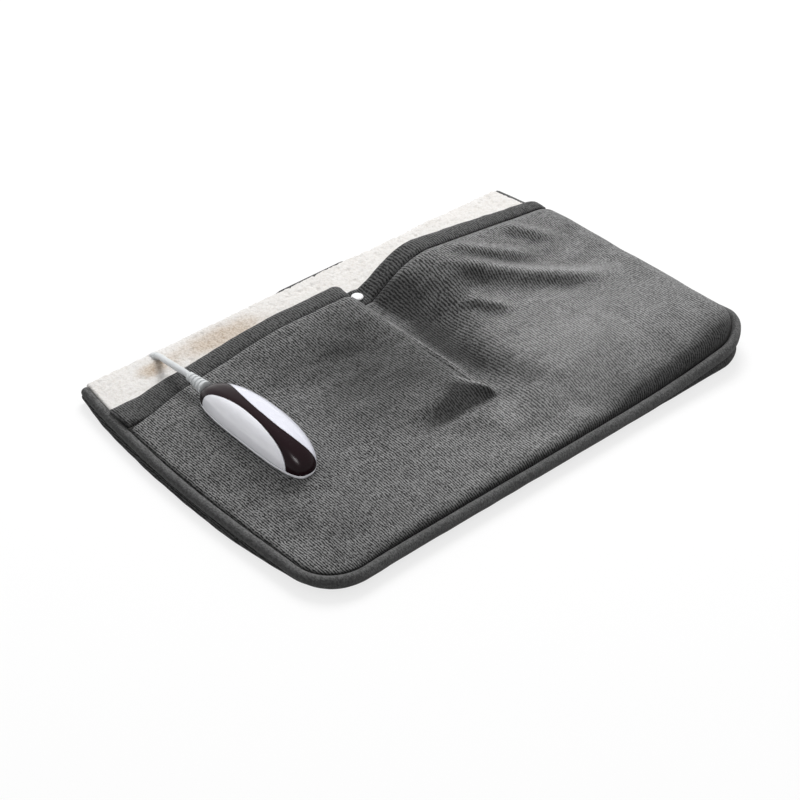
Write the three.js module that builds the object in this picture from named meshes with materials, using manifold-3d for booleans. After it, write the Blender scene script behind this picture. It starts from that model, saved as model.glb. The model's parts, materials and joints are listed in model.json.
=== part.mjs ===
// Heated foot pad: a plush pouch with a fleece lining, a snap at its open edge and a corded hand control.
// Millimetres, +Z up. +X runs along the long side, +Y from the sewn front edge to the open back edge.
// The origin is at the middle of the underside.

import * as THREE from 'three';
import { mergeVertices } from 'three/addons/utils/BufferGeometryUtils.js';
import Module from 'manifold-3d';

const wasm = await Module();
wasm.setup();

// Pad outline
const padWidth = 500;
const padDepth = 328;
const cornerRadius = 41;
const backCornerRadius = 7;
const sideBow = 12;
const cornerSteps = 6;
const sideSteps = 6;

// Layers of the pad, from the floor up
const layerGap = 0.3;
const coverThickness = 3;
const rimHeight = 6.5;
const rimWall = 3;
const trayInset = 1;
const trayRoll = 5;
const trayRollHeight = 4;
const feltThickness = 2;
const wireDiameter = 3;
const bedThickness = 6;
const bedBackInset = 0.5;
const topLiningThickness = 5;
const pipingDiameter = 8.4;
const seamGap = 0.7;
const overcut = 1;

// Top of the pouch: crown, foot folds and open edge
const edgeLip = 3;
const leftEdgeLip = 1;
const edgeLipWidth = 9;
const leftLipStart = 140;
const leftLipEnd = 225;
const frontSlope = 70;
const leftSlope = 55;
const leftSlopeStart = 120;
const leftSlopeEnd = 200;
const rightCrown = 18;
const rightCrownStart = 110;
const rightCrownEnd = 215;
const rightCrownFront = 14;
const rightCrownBack = 104;
const stripWidth = 53;
const hemWidth = 20;
const hemPuff = 0.9;
const leftArch = 20;
const rightArch = 27.5;
const rightArchEnd = 8;
const leftArchReach = 178;
const archFall = 15;
const rightArchPeak = 52;
const rightArchClimb = 1.2;
const leftArchDepth = 71;
const rightArchDepth = 101;
const archDepthChange = 80;
const blockRise = 7.5;
const blockAcross = 5;
const blockEdge = 8;
const blockSlant = 0.06;
const blockFlare = 11;
const blockFlareReach = 35;
const stepFromFront = 82;
const stepWidth = 24;
const stepFadeStart = 40;
const stepFadeEnd = 110;
const rightRise = 9;
const rightRiseStart = -22;
const rightRiseSlant = 0.24;
const rightRiseWidth = 34;
const rightSwell = 1;
const rightSwellStart = 50;
const rightSwellWidth = 100;
const creaseStart = new THREE.Vector2(86, 64);
const creaseEnd = new THREE.Vector2(197, -24);
const creaseBow = 5;
const creaseRise = 5;
const creaseWidth = 14;
const creaseIn = [-0.12, 0.2];
const creaseOut = [0.65, 1.15];
const creaseFade = 14;
const dimple = { x: 41, y: -82, depth: 3, width: 17 };
const sheetColumns = 33;
const columnCrowding = 0.25;
const sheetCornerRows = 4;
const sheetRows = 13;

// Snap through the hem, to the right of the middle
const snapOffset = 10.6;
const snapCapDiameter = 11;
const snapCapHeight = 2.2;
const snapCapEdge = 0.6;
const snapPostDiameter = 3;
const snapSocketDiameter = 10;
const snapSocketHeight = 3;
const snapGrip = 1;
const snapKnobDiameter = 4.6;
const snapKnobTaper = 0.35;
const snapDiscHeight = 1.2;
const snapBackHeight = 1.6;
const snapTabWidth = 17;

// Heating wire and the parts wired to it
const wireRuns = 14;
const wireSideMargin = 48.5;
const wireFrontMargin = 29;
const wireBackMargin = 54;
const wireReturnMargin = 10.4;
const wireTurnGap = 1;
const tailSpacing = 12;
const tailBend = 6;
const tailSpread = 5;
const junctionSize = { x: 22, y: 20 };
const thermostatSize = { x: 9, y: 16 };
const fuseSize = { x: 5, y: 12 };
const thermostatRun = 4;
const fuseRun = 9;

// Lead and its entry into the back seam
const leadDiameter = 5.5;
const leadGap = 0.4;
const glandWidth = 11;
const glandDepth = 9;
const glandHeight = 17;
const glandFromSide = 83;
const glandFaceMargin = 1.5;
const glandChamfer = 2;
const leadFallDegrees = 30;

// Hand control
const controlFromSide = 70.5;
const controlShift = -3;
const controlLength = 134;
const controlLeft = 15.5;
const controlRight = 25;
const leftFullness = 3.2;
const rightFullness = 2.2;
const baseHeight = 4;
const baseRoll = 3;
const domeHeight = 22.7;
const domeFullness = 2.4;
const domeAngles = [0, 16, 32, 47, 60, 72, 82];
const shellWall = 2;
const fitGap = 0.3;
const keyTravel = 0.6;
const keyMargin = 0.2;
const boardThickness = 1.6;
const boardHeight = 10.5;
const boardMargin = 1.2;
const boardPostDiameter = 4;
const postLeft = 5.5;
const postRight = 12;
const postFromEnd = 8;
const switchSize = { x: 4.5, y: 4.5, z: 3.5 };
const switchPlace = { x: -9, y: 2 };
const triacSize = { x: 5, y: 10, z: 6 };
const capacitorSize = { x: 7, y: 14, z: 6 };
const chipSize = { x: 5, y: 6, z: 1.6 };
const lineFuseSize = { x: 4, y: 12, z: 4 };
const terminalSize = { x: 9, y: 6, z: 5 };
const ledSize = { x: 1.6, y: 3, z: 1.2 };
const ledPitch = 14;
const plungerDiameter = 2.6;
const plungerHeight = 1.5;
const keyStemDiameter = 4;
const screwDiameter = 2.4;
const screwLength = 9.5;
const screwHeadDiameter = 4.8;
const screwHeadHeight = 2;
const bossDiameter = 6.4;
const noseScrew = { name: 'nose', x: -2, fromEnd: 14 };
const leadScrew = { name: 'lead', x: 5.2, fromEnd: 21 };
const reliefHeight = 9.6;
const reliefLength = 22;
const reliefWideDiameter = 12;
const reliefNarrowDiameter = 7.6;
const reliefRibs = 4;
const reliefRibDepth = 1;
const reliefRibTaper = 0.15;
const reliefTipTaper = 0.6;
const reliefNeckDiameter = 7.2;
const reliefNeckInside = 5;
const reliefFlangeDiameter = 8.6;
const reliefFlangeLength = 2.3;
const coreDiameter = 1.8;
const coreSpread = 1.45;
const terminalSpread = 2.25;

// Heights worked out from the layers
const bedSlot = wireDiameter + 2 * layerGap;
const feltBottom = coverThickness + layerGap;
const feltTop = feltBottom + feltThickness;
const wireHeight = feltTop + layerGap + wireDiameter / 2;
const bedBottom = feltTop + bedSlot;
const bedTop = bedBottom + bedThickness;
const pocketFloor = bedTop + layerGap;
const hemThickness = topLiningThickness + layerGap + coverThickness;
const flatTop = pocketFloor + hemThickness;
const pipingRadius = pipingDiameter / 2;
const pipingHeight = rimHeight + layerGap + pipingRadius;
const seamInset = pipingDiameter + seamGap;
const backEdge = padDepth / 2;
const frontEdge = -padDepth / 2;
const hemBack = backEdge - stripWidth;
const hemFront = hemBack - hemWidth;
const snapY = (hemBack + hemFront) / 2;
const tabLeft = snapOffset - snapTabWidth / 2;
const tabRight = snapOffset + snapTabWidth / 2;

// Colours and finishes
const finish = (color, roughness, metalness = 0) =>
  new THREE.MeshStandardMaterial({ color, roughness, metalness });
const plush = () => finish(0x55565a, 0.95);
const darkPlush = () => finish(0x46474b, 0.95);
const fleece = () => finish(0xeee9e2, 0.98);
const felt = () => finish(0xd8d6d0, 0.95);
const whiteShell = () => finish(0xe9e9ee, 0.3);
const bandShell = () => finish(0x2a1a1e, 0.2);
const greyRubber = () => finish(0xc9cbcd, 0.6);
const steel = () => finish(0xb4b6b8, 0.35, 0.9);
const darkPlastic = () => finish(0x222326, 0.5);
const copperSleeve = () => finish(0xb9793a, 0.5);

const model = new THREE.Group();

function addPart(name, geometry, material, parent = model) {
  const mesh = new THREE.Mesh(geometry, material);
  mesh.name = name;
  parent.add(mesh);
  return mesh;
}

// Small maths helpers
function smooth(from, to, value) {
  const t = THREE.MathUtils.clamp((value - from) / (to - from), 0, 1);
  return t * t * (3 - 2 * t);
}

const ridge = (distance, width) => Math.exp(-((distance / width) ** 2));

// Steps of a quarter turn, for rolled edges
const quarter = [0, 30, 60, 90].map((angle) => {
  const turn = THREE.MathUtils.degToRad(angle);
  return { sin: Math.sin(turn), cos: Math.cos(turn) };
});

// Closed solids from rings of points, and their booleans
const capFan = (ring) => ring.slice(2).map((_, i) => [0, i + 1, i + 2]);
const capFlat = (ring) => THREE.ShapeUtils.triangulateShape(ring.map((p) => new THREE.Vector2(p.x, p.y)), []);

function skin(rings, cap) {
  const count = rings[0].length;
  const last = (rings.length - 1) * count;
  const index = [];
  for (let r = 0; r + 1 < rings.length; r += 1) {
    for (let i = 0; i < count; i += 1) {
      const a = r * count + i;
      const b = r * count + ((i + 1) % count);
      index.push(a, b, b + count, a, b + count, a + count);
    }
  }
  cap(rings[0]).forEach(([a, b, c]) => index.push(a, c, b));
  cap(rings[rings.length - 1]).forEach(([a, b, c]) => index.push(last + a, last + b, last + c));
  const geometry = new THREE.BufferGeometry().setFromPoints(rings.flat());
  geometry.setIndex(index);
  return geometry;
}

function solidOf(geometry) {
  const bare = geometry.clone();
  bare.deleteAttribute('normal');
  bare.deleteAttribute('uv');
  const merged = mergeVertices(bare, 1e-4);
  const vertProperties = new Float32Array(merged.attributes.position.array);
  const triVerts = new Uint32Array(merged.index.array);
  return new wasm.Manifold(new wasm.Mesh({ numProp: 3, vertProperties, triVerts }));
}

function geometryOf(solid) {
  const mesh = solid.getMesh();
  const geometry = new THREE.BufferGeometry();
  geometry.setAttribute('position', new THREE.BufferAttribute(new Float32Array(mesh.vertProperties), 3));
  geometry.setIndex(Array.from(mesh.triVerts));
  return geometry;
}

const cut = (geometry, ...tools) =>
  geometryOf(tools.reduce((solid, tool) => solid.subtract(solidOf(tool)), solidOf(geometry)));
const join = (geometry, ...others) =>
  geometryOf(others.reduce((solid, other) => solid.add(solidOf(other)), solidOf(geometry)));
const common = (geometry, other) => geometryOf(solidOf(geometry).intersect(solidOf(other)));

// A box from its low corner to its high corner
function block(low, high) {
  const geometry = new THREE.BoxGeometry(high[0] - low[0], high[1] - low[1], high[2] - low[2]);
  return geometry.translate((low[0] + high[0]) / 2, (low[1] + high[1]) / 2, (low[2] + high[2]) / 2);
}

// A round bar standing at x, y between two heights
function bar(x, y, low, high, diameter, sides = 12) {
  const geometry = new THREE.CylinderGeometry(diameter / 2, diameter / 2, high - low, sides);
  return geometry.rotateX(Math.PI / 2).translate(x, y, (low + high) / 2);
}

// A turned solid standing at x, y, from radius and height pairs that start and end on the axis
function turned(profile, x, y, sides = 16) {
  const points = profile.map(([radius, height]) => new THREE.Vector2(radius, height));
  return new THREE.LatheGeometry(points, sides).rotateX(Math.PI / 2).translate(x, y, 0);
}

// A round tube along points, with its sections kept upright
function tube(points, diameter, sides) {
  const up = new THREE.Vector3(0, 0, 1);
  const rings = points.map((point, i) => {
    const before = points[Math.max(i - 1, 0)];
    const after = points[Math.min(i + 1, points.length - 1)];
    const into = point.clone().sub(before);
    const out = after.clone().sub(point);
    const along = into.clone().normalize().add(out.clone().normalize()).normalize();
    const side = up.clone().cross(along).normalize();
    const lift = along.clone().cross(side);
    const lean = i > 0 && i + 1 < points.length ? along.dot(out.normalize()) : 1;
    return Array.from({ length: sides }, (_, k) => {
      const angle = (2 * Math.PI * (k + 0.5)) / sides;
      const ring = point.clone().addScaledVector(side, (diameter / 2 / lean) * Math.cos(angle));
      return ring.addScaledVector(lift, (diameter / 2) * Math.sin(angle));
    });
  });
  return skin(rings, capFan);
}

// A flat path with its corners rounded
function roundedPath(corners, radius, height, steps) {
  const path = [];
  corners.forEach(([x, y], i) => {
    const corner = new THREE.Vector2(x, y);
    if (i === 0 || i + 1 === corners.length) {
      path.push(new THREE.Vector3(x, y, height));
      return;
    }
    const into = new THREE.Vector2(...corners[i - 1]).sub(corner).normalize().multiplyScalar(radius);
    const out = new THREE.Vector2(...corners[i + 1]).sub(corner).normalize().multiplyScalar(radius);
    const centre = corner.clone().add(into).add(out);
    for (let k = 0; k <= steps; k += 1) {
      const turn = (Math.PI / 2) * (k / steps);
      const point = centre.clone().addScaledVector(out, -Math.cos(turn));
      point.addScaledVector(into, -Math.sin(turn));
      path.push(new THREE.Vector3(point.x, point.y, height));
    }
  });
  return path;
}

// Pad outline: straight front, bowed sides, round front corners, small back corners
const halfWidthAt = (y) => padWidth / 2 - sideBow * (y / backEdge) ** 2;

function edgeDistance(x, y) {
  const side = halfWidthAt(y) - Math.abs(x);
  const front = y - frontEdge;
  if (side < cornerRadius && front < cornerRadius) {
    return cornerRadius - Math.hypot(cornerRadius - side, cornerRadius - front);
  }
  return Math.min(side, front);
}

// Half width of the outline drawn in by an inset, with the front corners rounded
function insetHalfWidth(y, inset) {
  const front = Math.min(y - frontEdge, cornerRadius);
  const radius = cornerRadius - inset;
  const reach = Math.sqrt(Math.max(radius ** 2 - (cornerRadius - front) ** 2, 0));
  return halfWidthAt(y) - cornerRadius + reach;
}

// Depths of the rows that follow one side from the front corner to a given depth
function sideDepths(inset, end, cornerRows, sideRows) {
  const radius = cornerRadius - inset;
  const cornerEnd = frontEdge + cornerRadius;
  const corner = Array.from({ length: cornerRows }, (_, i) =>
    cornerEnd - radius * Math.cos((Math.PI / 2) * (i / cornerRows)));
  const side = Array.from({ length: sideRows + 1 }, (_, i) =>
    THREE.MathUtils.lerp(cornerEnd, end, i / sideRows));
  return [...corner, ...side];
}

// One ring of the outline at a height, counter-clockwise
function outlineRing(inset, backInset, height) {
  const radius = Math.max(backCornerRadius - backInset, 1);
  const end = backEdge - backInset;
  const right = sideDepths(inset, end - radius, cornerSteps, sideSteps)
    .map((y) => new THREE.Vector3(insetHalfWidth(y, inset), y, height));
  const turn = [45, 90].map((angle) => {
    const x = insetHalfWidth(end, inset) - radius + radius * Math.cos(THREE.MathUtils.degToRad(angle));
    return new THREE.Vector3(x, end - radius + radius * Math.sin(THREE.MathUtils.degToRad(angle)), height);
  });
  const half = [...right, ...turn];
  const mirrored = half.map((p) => new THREE.Vector3(-p.x, p.y, p.z)).reverse();
  return [...half, ...mirrored];
}

// Height of the pouch's top surface above the layers when it lies flat
function hemRaise(x) {
  const leftEnd = -padWidth / 2 + seamInset;
  const rightPeak = snapOffset + rightArchPeak;
  const slide = THREE.MathUtils.clamp((x - rightPeak) / (padWidth / 2 - rightPeak), 0, 1);
  const fall = 1 - smooth(tabLeft - archFall, tabLeft, x);
  const left = leftArch * smooth(leftEnd, leftEnd + leftArchReach, x) * fall;
  const climb = THREE.MathUtils.clamp((x - tabRight) / (rightPeak - tabRight), 0, 1);
  const up = Math.sin((climb * Math.PI) / 2) ** rightArchClimb;
  return left + up * THREE.MathUtils.lerp(rightArch, rightArchEnd, slide);
}

// The left foot fills its half of the pouch: a low block whose front step dies out to the left
function footBlock(x, y) {
  const front = frontEdge + stepFromFront;
  const flare = blockFlare * (1 - smooth(front, front + blockFlareReach, y));
  const edge = snapOffset - blockAcross - (hemFront - y) * blockSlant + flare;
  const across = 1 - smooth(edge - blockEdge, edge + blockEdge, x);
  const step = smooth(front, front + stepWidth, y);
  return blockRise * across * THREE.MathUtils.lerp(step, 1, smooth(-stepFadeStart, -stepFadeEnd, x));
}

// The right foot's swell, which leaves a valley beside the block
function footSwell(x, y) {
  const start = snapOffset + rightRiseStart + (y - frontEdge) * rightRiseSlant;
  const rise = rightRise * smooth(start, start + rightRiseWidth, x);
  return rise + rightSwell * smooth(rightSwellStart, rightSwellStart + rightSwellWidth, x);
}

// A crease pulled from the right arch across the right half, and a dimple in front of the valley
function creases(x, y) {
  const run = creaseEnd.clone().sub(creaseStart);
  const place = new THREE.Vector2(x, y).sub(creaseStart);
  const along = place.dot(run) / run.lengthSq();
  const off = run.cross(place) / run.length() + creaseBow * 4 * along * (1 - along);
  const fade = smooth(...creaseIn, along) * (1 - smooth(...creaseOut, along));
  const hollow = ridge(Math.hypot(x - dimple.x, y - dimple.y), dimple.width);
  return creaseRise * ridge(off, creaseWidth) * fade - dimple.depth * hollow;
}

// Height of a quarter circle above its start
const quarterRise = (share) => Math.sqrt(1 - (1 - THREE.MathUtils.clamp(share, 0, 1)) ** 2);

// A small lip beside the seam, then a long gentle slope; the right side is rounder
function edgeHeight(x, border) {
  const lip = THREE.MathUtils.lerp(edgeLip, leftEdgeLip, smooth(-leftLipStart, -leftLipEnd, x));
  return pocketFloor + coverThickness + lip * quarterRise(border / edgeLipWidth);
}

function edgeShare(x, y, border) {
  const slope = THREE.MathUtils.lerp(frontSlope, leftSlope, smooth(-leftSlopeStart, -leftSlopeEnd, x));
  const depth = smooth(rightCrownFront, rightCrownBack, y - frontEdge);
  const full = smooth(rightCrownStart, rightCrownEnd, x) * depth;
  return THREE.MathUtils.lerp(smooth(0, slope, border), quarterRise(border / rightCrown), full);
}

function topHeight(x, y) {
  const change = smooth(0, archDepthChange, x);
  const start = hemFront - THREE.MathUtils.lerp(leftArchDepth, rightArchDepth, change);
  const arch = smooth(start, hemFront, y);
  const lifted = THREE.MathUtils.lerp(footBlock(x, y) + footSwell(x, y), hemRaise(x), arch);
  const plateau = flatTop + Math.max(lifted + creases(x, y) * smooth(0, creaseFade, hemFront - y), 0);
  const border = Math.max(edgeDistance(x, y) - seamInset, 0);
  const lip = edgeHeight(x, border);
  return lip + (plateau - lip) * edgeShare(x, y, border);
}

// A closed sheet over the pouch between an upper and a lower surface, on one grid that its layers share.
// A trim leaves out that many columns at each side and rows at the front.
function pouchSheet(upper, lower, trim) {
  const depths = sideDepths(seamInset, hemFront - layerGap, sheetCornerRows, sheetRows).slice(2 * trim);
  const columns = sheetColumns - 2 * trim;
  const points = [];
  for (const surface of [lower, upper]) {
    for (const y of depths) {
      for (let i = 0; i <= columns; i += 1) {
        const share = (2 * (i + trim)) / sheetColumns - 1;
        const spread = share * (1 + columnCrowding - columnCrowding * share * share);
        const x = spread * insetHalfWidth(y, seamInset);
        points.push(new THREE.Vector3(x, y, surface(x, y)));
      }
    }
  }
  const wide = columns + 1;
  const tall = depths.length;
  const sheet = wide * tall;
  const index = [];
  const quad = (a, b, c, d) => index.push(a, b, c, a, c, d);
  for (let j = 0; j + 1 < tall; j += 1) {
    for (let i = 0; i < columns; i += 1) {
      const a = j * wide + i;
      index.push(a, a + wide + 1, a + 1, a, a + wide, a + wide + 1);
      quad(sheet + a, sheet + a + 1, sheet + a + wide + 1, sheet + a + wide);
    }
  }
  const rim = [];
  for (let i = 0; i < columns; i += 1) rim.push(i);
  for (let j = 0; j + 1 < tall; j += 1) rim.push(j * wide + columns);
  for (let i = columns; i > 0; i -= 1) rim.push((tall - 1) * wide + i);
  for (let j = tall - 1; j > 0; j -= 1) rim.push(j * wide);
  rim.forEach((a, k) => {
    const b = rim[(k + 1) % rim.length];
    quad(a, b, sheet + b, sheet + a);
  });
  const geometry = new THREE.BufferGeometry().setFromPoints(points);
  geometry.setIndex(index);
  return geometry;
}

// Lead entry block in the back seam, with a face square to the lead
const glandX = -padWidth / 2 + glandFromSide;
const glandFront = backEdge - layerGap - glandDepth;
const glandTop = feltBottom + glandHeight;
const leadFall = THREE.MathUtils.degToRad(leadFallDegrees);
const glandFace = leadDiameter + 2 * glandFaceMargin;

function glandProfile() {
  const low = glandTop - glandFace * Math.cos(leadFall);
  const shape = new THREE.Shape();
  shape.moveTo(backEdge - layerGap, feltBottom);
  shape.lineTo(backEdge - layerGap, glandTop - glandChamfer);
  shape.lineTo(backEdge - layerGap - glandChamfer, glandTop);
  shape.lineTo(glandFront + glandFace * Math.sin(leadFall), glandTop);
  shape.lineTo(glandFront, low);
  shape.lineTo(glandFront, feltBottom);
  return shape;
}

function makeGland() {
  const geometry = new THREE.ExtrudeGeometry(glandProfile(), { depth: glandWidth, bevelEnabled: false });
  geometry.rotateY(Math.PI / 2).rotateX(Math.PI / 2);
  return geometry.translate(glandX - glandWidth / 2, 0, 0);
}

const glandRoom = () => block(
  [glandX - glandWidth / 2 - fitGap, glandFront - fitGap, coverThickness],
  [glandX + glandWidth / 2 + fitGap, backEdge + overcut, glandTop + overcut],
);

// Pad layers
function makeBottomCover() {
  const roll = quarter.map(({ sin, cos }) => {
    const inset = trayRoll * (1 - sin);
    return outlineRing(trayInset + inset, inset, trayRollHeight * (1 - cos));
  });
  const rim = [
    outlineRing(trayInset, 0, rimHeight),
    outlineRing(trayInset + rimWall, rimWall, rimHeight),
    outlineRing(trayInset + rimWall, rimWall, coverThickness),
  ];
  return cut(skin([...roll, ...rim], capFlat), glandRoom());
}

const feltInset = trayInset + rimWall + layerGap;

function makeFelt() {
  const backInset = glandDepth + 2 * layerGap;
  const rings = [feltBottom, feltTop].map((height) => outlineRing(feltInset, backInset, height));
  return skin(rings, capFlat);
}

const snapRecessBottom = bedTop - snapSocketHeight - snapDiscHeight - 2 * layerGap;

function makeBedLining() {
  const rings = [bedBottom, bedTop].map((height) => outlineRing(seamInset, bedBackInset, height));
  const recessDiameter = snapSocketDiameter + 4 * layerGap;
  const holeDiameter = snapPostDiameter + 2 * layerGap;
  const recess = bar(snapOffset, snapY, snapRecessBottom, bedTop + overcut, recessDiameter, 16);
  const hole = bar(snapOffset, snapY, bedBottom - overcut, bedTop, holeDiameter, 16);
  return cut(skin(rings, capFlat), recess, hole, glandRoom());
}

function makeTopCover() {
  const lower = (x, y) => topHeight(x, y) - coverThickness;
  return pouchSheet(topHeight, lower, 0);
}

function makeTopLining() {
  const upper = (x, y) => topHeight(x, y) - coverThickness - layerGap;
  const lower = (x, y) => Math.max(upper(x, y) - topLiningThickness, pocketFloor);
  return pouchSheet(upper, lower, 1);
}

// Folded hem of the open edge, between two places along it
function hemRing(x) {
  const top = topHeight(x, hemFront);
  const low = Math.max(top - hemThickness, pocketFloor);
  const thick = top - low;
  const section = [
    [0, 0], [0.78, 0], [0.95, 0.2], [1, 0.5], [0.95, 0.8], [0.78, 1], [0.35, 1], [0, 1],
  ];
  return section.map(([along, up], i) => {
    const puff = i === 5 || i === 6 ? hemPuff : 0;
    return new THREE.Vector3(x, hemFront + along * hemWidth, low + up * thick + puff);
  });
}

function makeHem(from, to, steps) {
  const rings = Array.from({ length: steps + 1 }, (_, i) =>
    hemRing(THREE.MathUtils.lerp(from, to, i / steps)));
  return skin(rings, capFan);
}

function makeTab() {
  const holeTop = flatTop + hemPuff + overcut;
  const hole = bar(snapOffset, snapY, pocketFloor - overcut, holeTop, snapPostDiameter + 2 * layerGap, 16);
  return cut(makeHem(tabLeft, tabRight, 1), hole);
}

function makePiping() {
  const right = sideDepths(pipingRadius, backEdge - pipingRadius, cornerSteps, sideSteps)
    .map((y) => new THREE.Vector3(insetHalfWidth(y, pipingRadius), y, pipingHeight));
  const left = right.map((p) => new THREE.Vector3(-p.x, p.y, p.z)).reverse();
  return tube([...left, ...right], pipingDiameter, 10);
}

// Heating wire: runs along the depth, then one return run behind them to the lead joint
const wireLeft = -padWidth / 2 + wireSideMargin;
const wirePitch = (-2 * wireLeft) / (wireRuns - 1);
const wireFront = frontEdge + wireFrontMargin;
const junctionBack = glandFront - layerGap;
const junctionFront = junctionBack - junctionSize.y;
const returnDepth = junctionFront - wireReturnMargin;
const wireBack = returnDepth - wireBackMargin;

function makeWire() {
  const turnRadius = (wirePitch - wireTurnGap) / 2;
  const tail = junctionFront - layerGap;
  const tailLeft = glandX - tailSpread;
  const tailRight = glandX + tailSpread;
  const firstDepth = returnDepth - tailSpacing;
  const corners = [[tailLeft, tail], [tailLeft, firstDepth], [wireLeft, firstDepth]];
  for (let run = 0; run < wireRuns; run += 1) {
    const x = wireLeft + run * wirePitch;
    const ends = run % 2 === 0 ? [wireBack, wireFront] : [wireFront, wireBack];
    if (run > 0) corners.push([x, ends[0]]);
    if (run + 1 < wireRuns) corners.push([x, ends[1]]);
  }
  corners.push([-wireLeft, returnDepth], [tailRight, returnDepth], [tailRight, tail]);
  const path = [];
  corners.forEach((corner, i) => {
    const tight = i < 3 || i > corners.length - 4;
    const piece = roundedPath(
      [corners[Math.max(i - 1, 0)], corner, corners[Math.min(i + 1, corners.length - 1)]],
      tight ? tailBend : turnRadius, wireHeight, 3,
    );
    const ending = i === 0 || i === corners.length - 1;
    path.push(...(ending ? [new THREE.Vector3(...corner, wireHeight)] : piece.slice(1, -1)));
  });
  return tube(path, wireDiameter, 6);
}

const slotBlock = (x, y, size) => block(
  [x - size.x / 2, y - size.y / 2, feltTop + layerGap],
  [x + size.x / 2, y + size.y / 2, feltTop + layerGap + wireDiameter],
);
const besideWire = (run, size) => wireLeft + run * wirePitch + wireDiameter / 2 + layerGap + size.x / 2;

addPart('bottom_cover', makeBottomCover(), darkPlush());
addPart('heater_felt', makeFelt(), felt());
addPart('heating_wire', makeWire(), copperSleeve());
const thermostatX = besideWire(thermostatRun, thermostatSize);
addPart('overheat_thermostat', slotBlock(thermostatX, 0, thermostatSize), darkPlastic());
addPart('thermal_fuse', slotBlock(besideWire(fuseRun, fuseSize), 0, fuseSize), whiteShell());
const junctionY = (junctionFront + junctionBack) / 2;
addPart('lead_junction', slotBlock(glandX, junctionY, junctionSize), darkPlastic());
addPart('bed_lining', makeBedLining(), fleece());
addPart('top_lining', makeTopLining(), fleece());
addPart('top_cover', makeTopCover(), plush());
const hemEnd = halfWidthAt(hemBack) - seamInset;
addPart('hem_left', makeHem(-hemEnd, tabLeft - layerGap, 13), darkPlush());
addPart('hem_right', makeHem(tabRight + layerGap, hemEnd, 13), darkPlush());
addPart('snap_tab', makeTab(), darkPlush());
addPart('edge_piping', makePiping(), plush());
addPart('lead_gland', makeGland(), greyRubber());

// Press snap: cap and socket hold the hem, stud and back hold the bed lining
const capBottom = flatTop + hemPuff + layerGap;
const capTop = capBottom + snapCapHeight;
const socketTop = bedTop;
const socketBottom = socketTop - snapSocketHeight;
const discTop = socketBottom - layerGap;
const postRadius = snapPostDiameter / 2;
const capRadius = snapCapDiameter / 2;
const knobRadius = snapKnobDiameter / 2;
const socketRadius = snapSocketDiameter / 2;

const gripBottom = socketTop - snapGrip;
const domeStart = capBottom + snapCapEdge;
const socketBore = knobRadius + layerGap;
const socketEye = postRadius + layerGap;

addPart('snap_cap', turned([
  [0, gripBottom], [postRadius, gripBottom], [postRadius, capBottom], [capRadius, capBottom],
  ...quarter.slice(0, -1).map(({ sin, cos }) => [capRadius * cos, domeStart + (capTop - domeStart) * sin]),
  [0, capTop],
], snapOffset, snapY, 20), whiteShell());

addPart('snap_socket', turned([
  [socketBore, socketBottom], [socketRadius, socketBottom], [socketRadius, socketTop], [socketEye, socketTop],
  [socketEye, gripBottom], [socketBore, gripBottom], [socketBore, socketBottom],
], snapOffset, snapY, 20), whiteShell());

const discBottom = discTop - snapDiscHeight;
const discRadius = socketRadius - layerGap;
const knobTop = gripBottom - layerGap;
const knobMiddle = (discTop + knobTop) / 2;

addPart('snap_stud', turned([
  [0, bedBottom], [postRadius, bedBottom], [postRadius, discBottom], [discRadius, discBottom],
  [discRadius, discTop], [knobRadius - snapKnobTaper, discTop], [knobRadius, knobMiddle],
  [knobRadius - snapKnobTaper, knobTop], [0, knobTop],
], snapOffset, snapY, 20), whiteShell());

const backTop = bedBottom - layerGap;
const backBottom = backTop - snapBackHeight;

addPart('snap_back', turned([
  [0, backBottom], [socketRadius, backBottom], [socketRadius, backTop], [0, backTop],
], snapOffset, snapY, 20), whiteShell());

// Hand control, modelled in its own frame: nose towards -Y, lead towards +Y, underside at zero
const controlX = -padWidth / 2 + controlFromSide;
const caseEnd = controlLength / 2;

function controlSeat() {
  let highest = 0;
  for (let i = 0; i <= 12; i += 1) {
    for (let j = 0; j <= 24; j += 1) {
      const x = THREE.MathUtils.lerp(-controlLeft, controlRight, i / 12);
      const y = THREE.MathUtils.lerp(-caseEnd, caseEnd, j / 24);
      highest = Math.max(highest, topHeight(controlX + x, controlShift + y));
    }
  }
  return highest + layerGap;
}

const control = new THREE.Group();
const controlZ = controlSeat();
control.position.set(controlX, controlShift, controlZ);
model.add(control);

// One ring of the control's plan, drawn in by an inset
function controlRing(inset, height, scale = 1, sides = 40) {
  return Array.from({ length: sides }, (_, i) => {
    const angle = (2 * Math.PI * i) / sides;
    const across = Math.cos(angle);
    const along = Math.sin(angle);
    const reach = across > 0 ? controlRight : controlLeft;
    const power = 2 / (across > 0 ? rightFullness : leftFullness);
    const x = (reach - inset) * Math.sign(across) * Math.abs(across) ** power;
    const y = (caseEnd - inset) * Math.sign(along) * Math.abs(along) ** power;
    return new THREE.Vector3(x * scale, y * scale, height);
  });
}

const rimPlane = baseHeight + fitGap;

function dome(inset, skirt) {
  const rings = domeAngles.map((angle) => {
    const turn = THREE.MathUtils.degToRad(angle);
    const rise = (domeHeight - inset) * Math.sin(turn) ** (2 / domeFullness);
    return controlRing(inset, rimPlane + rise, Math.cos(turn) ** (2 / domeFullness));
  });
  return skin(skirt > 0 ? [controlRing(inset, rimPlane - skirt), ...rings] : rings, capFlat);
}

const upperShell = cut(dome(0, 0), dome(shellWall, overcut));

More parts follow.
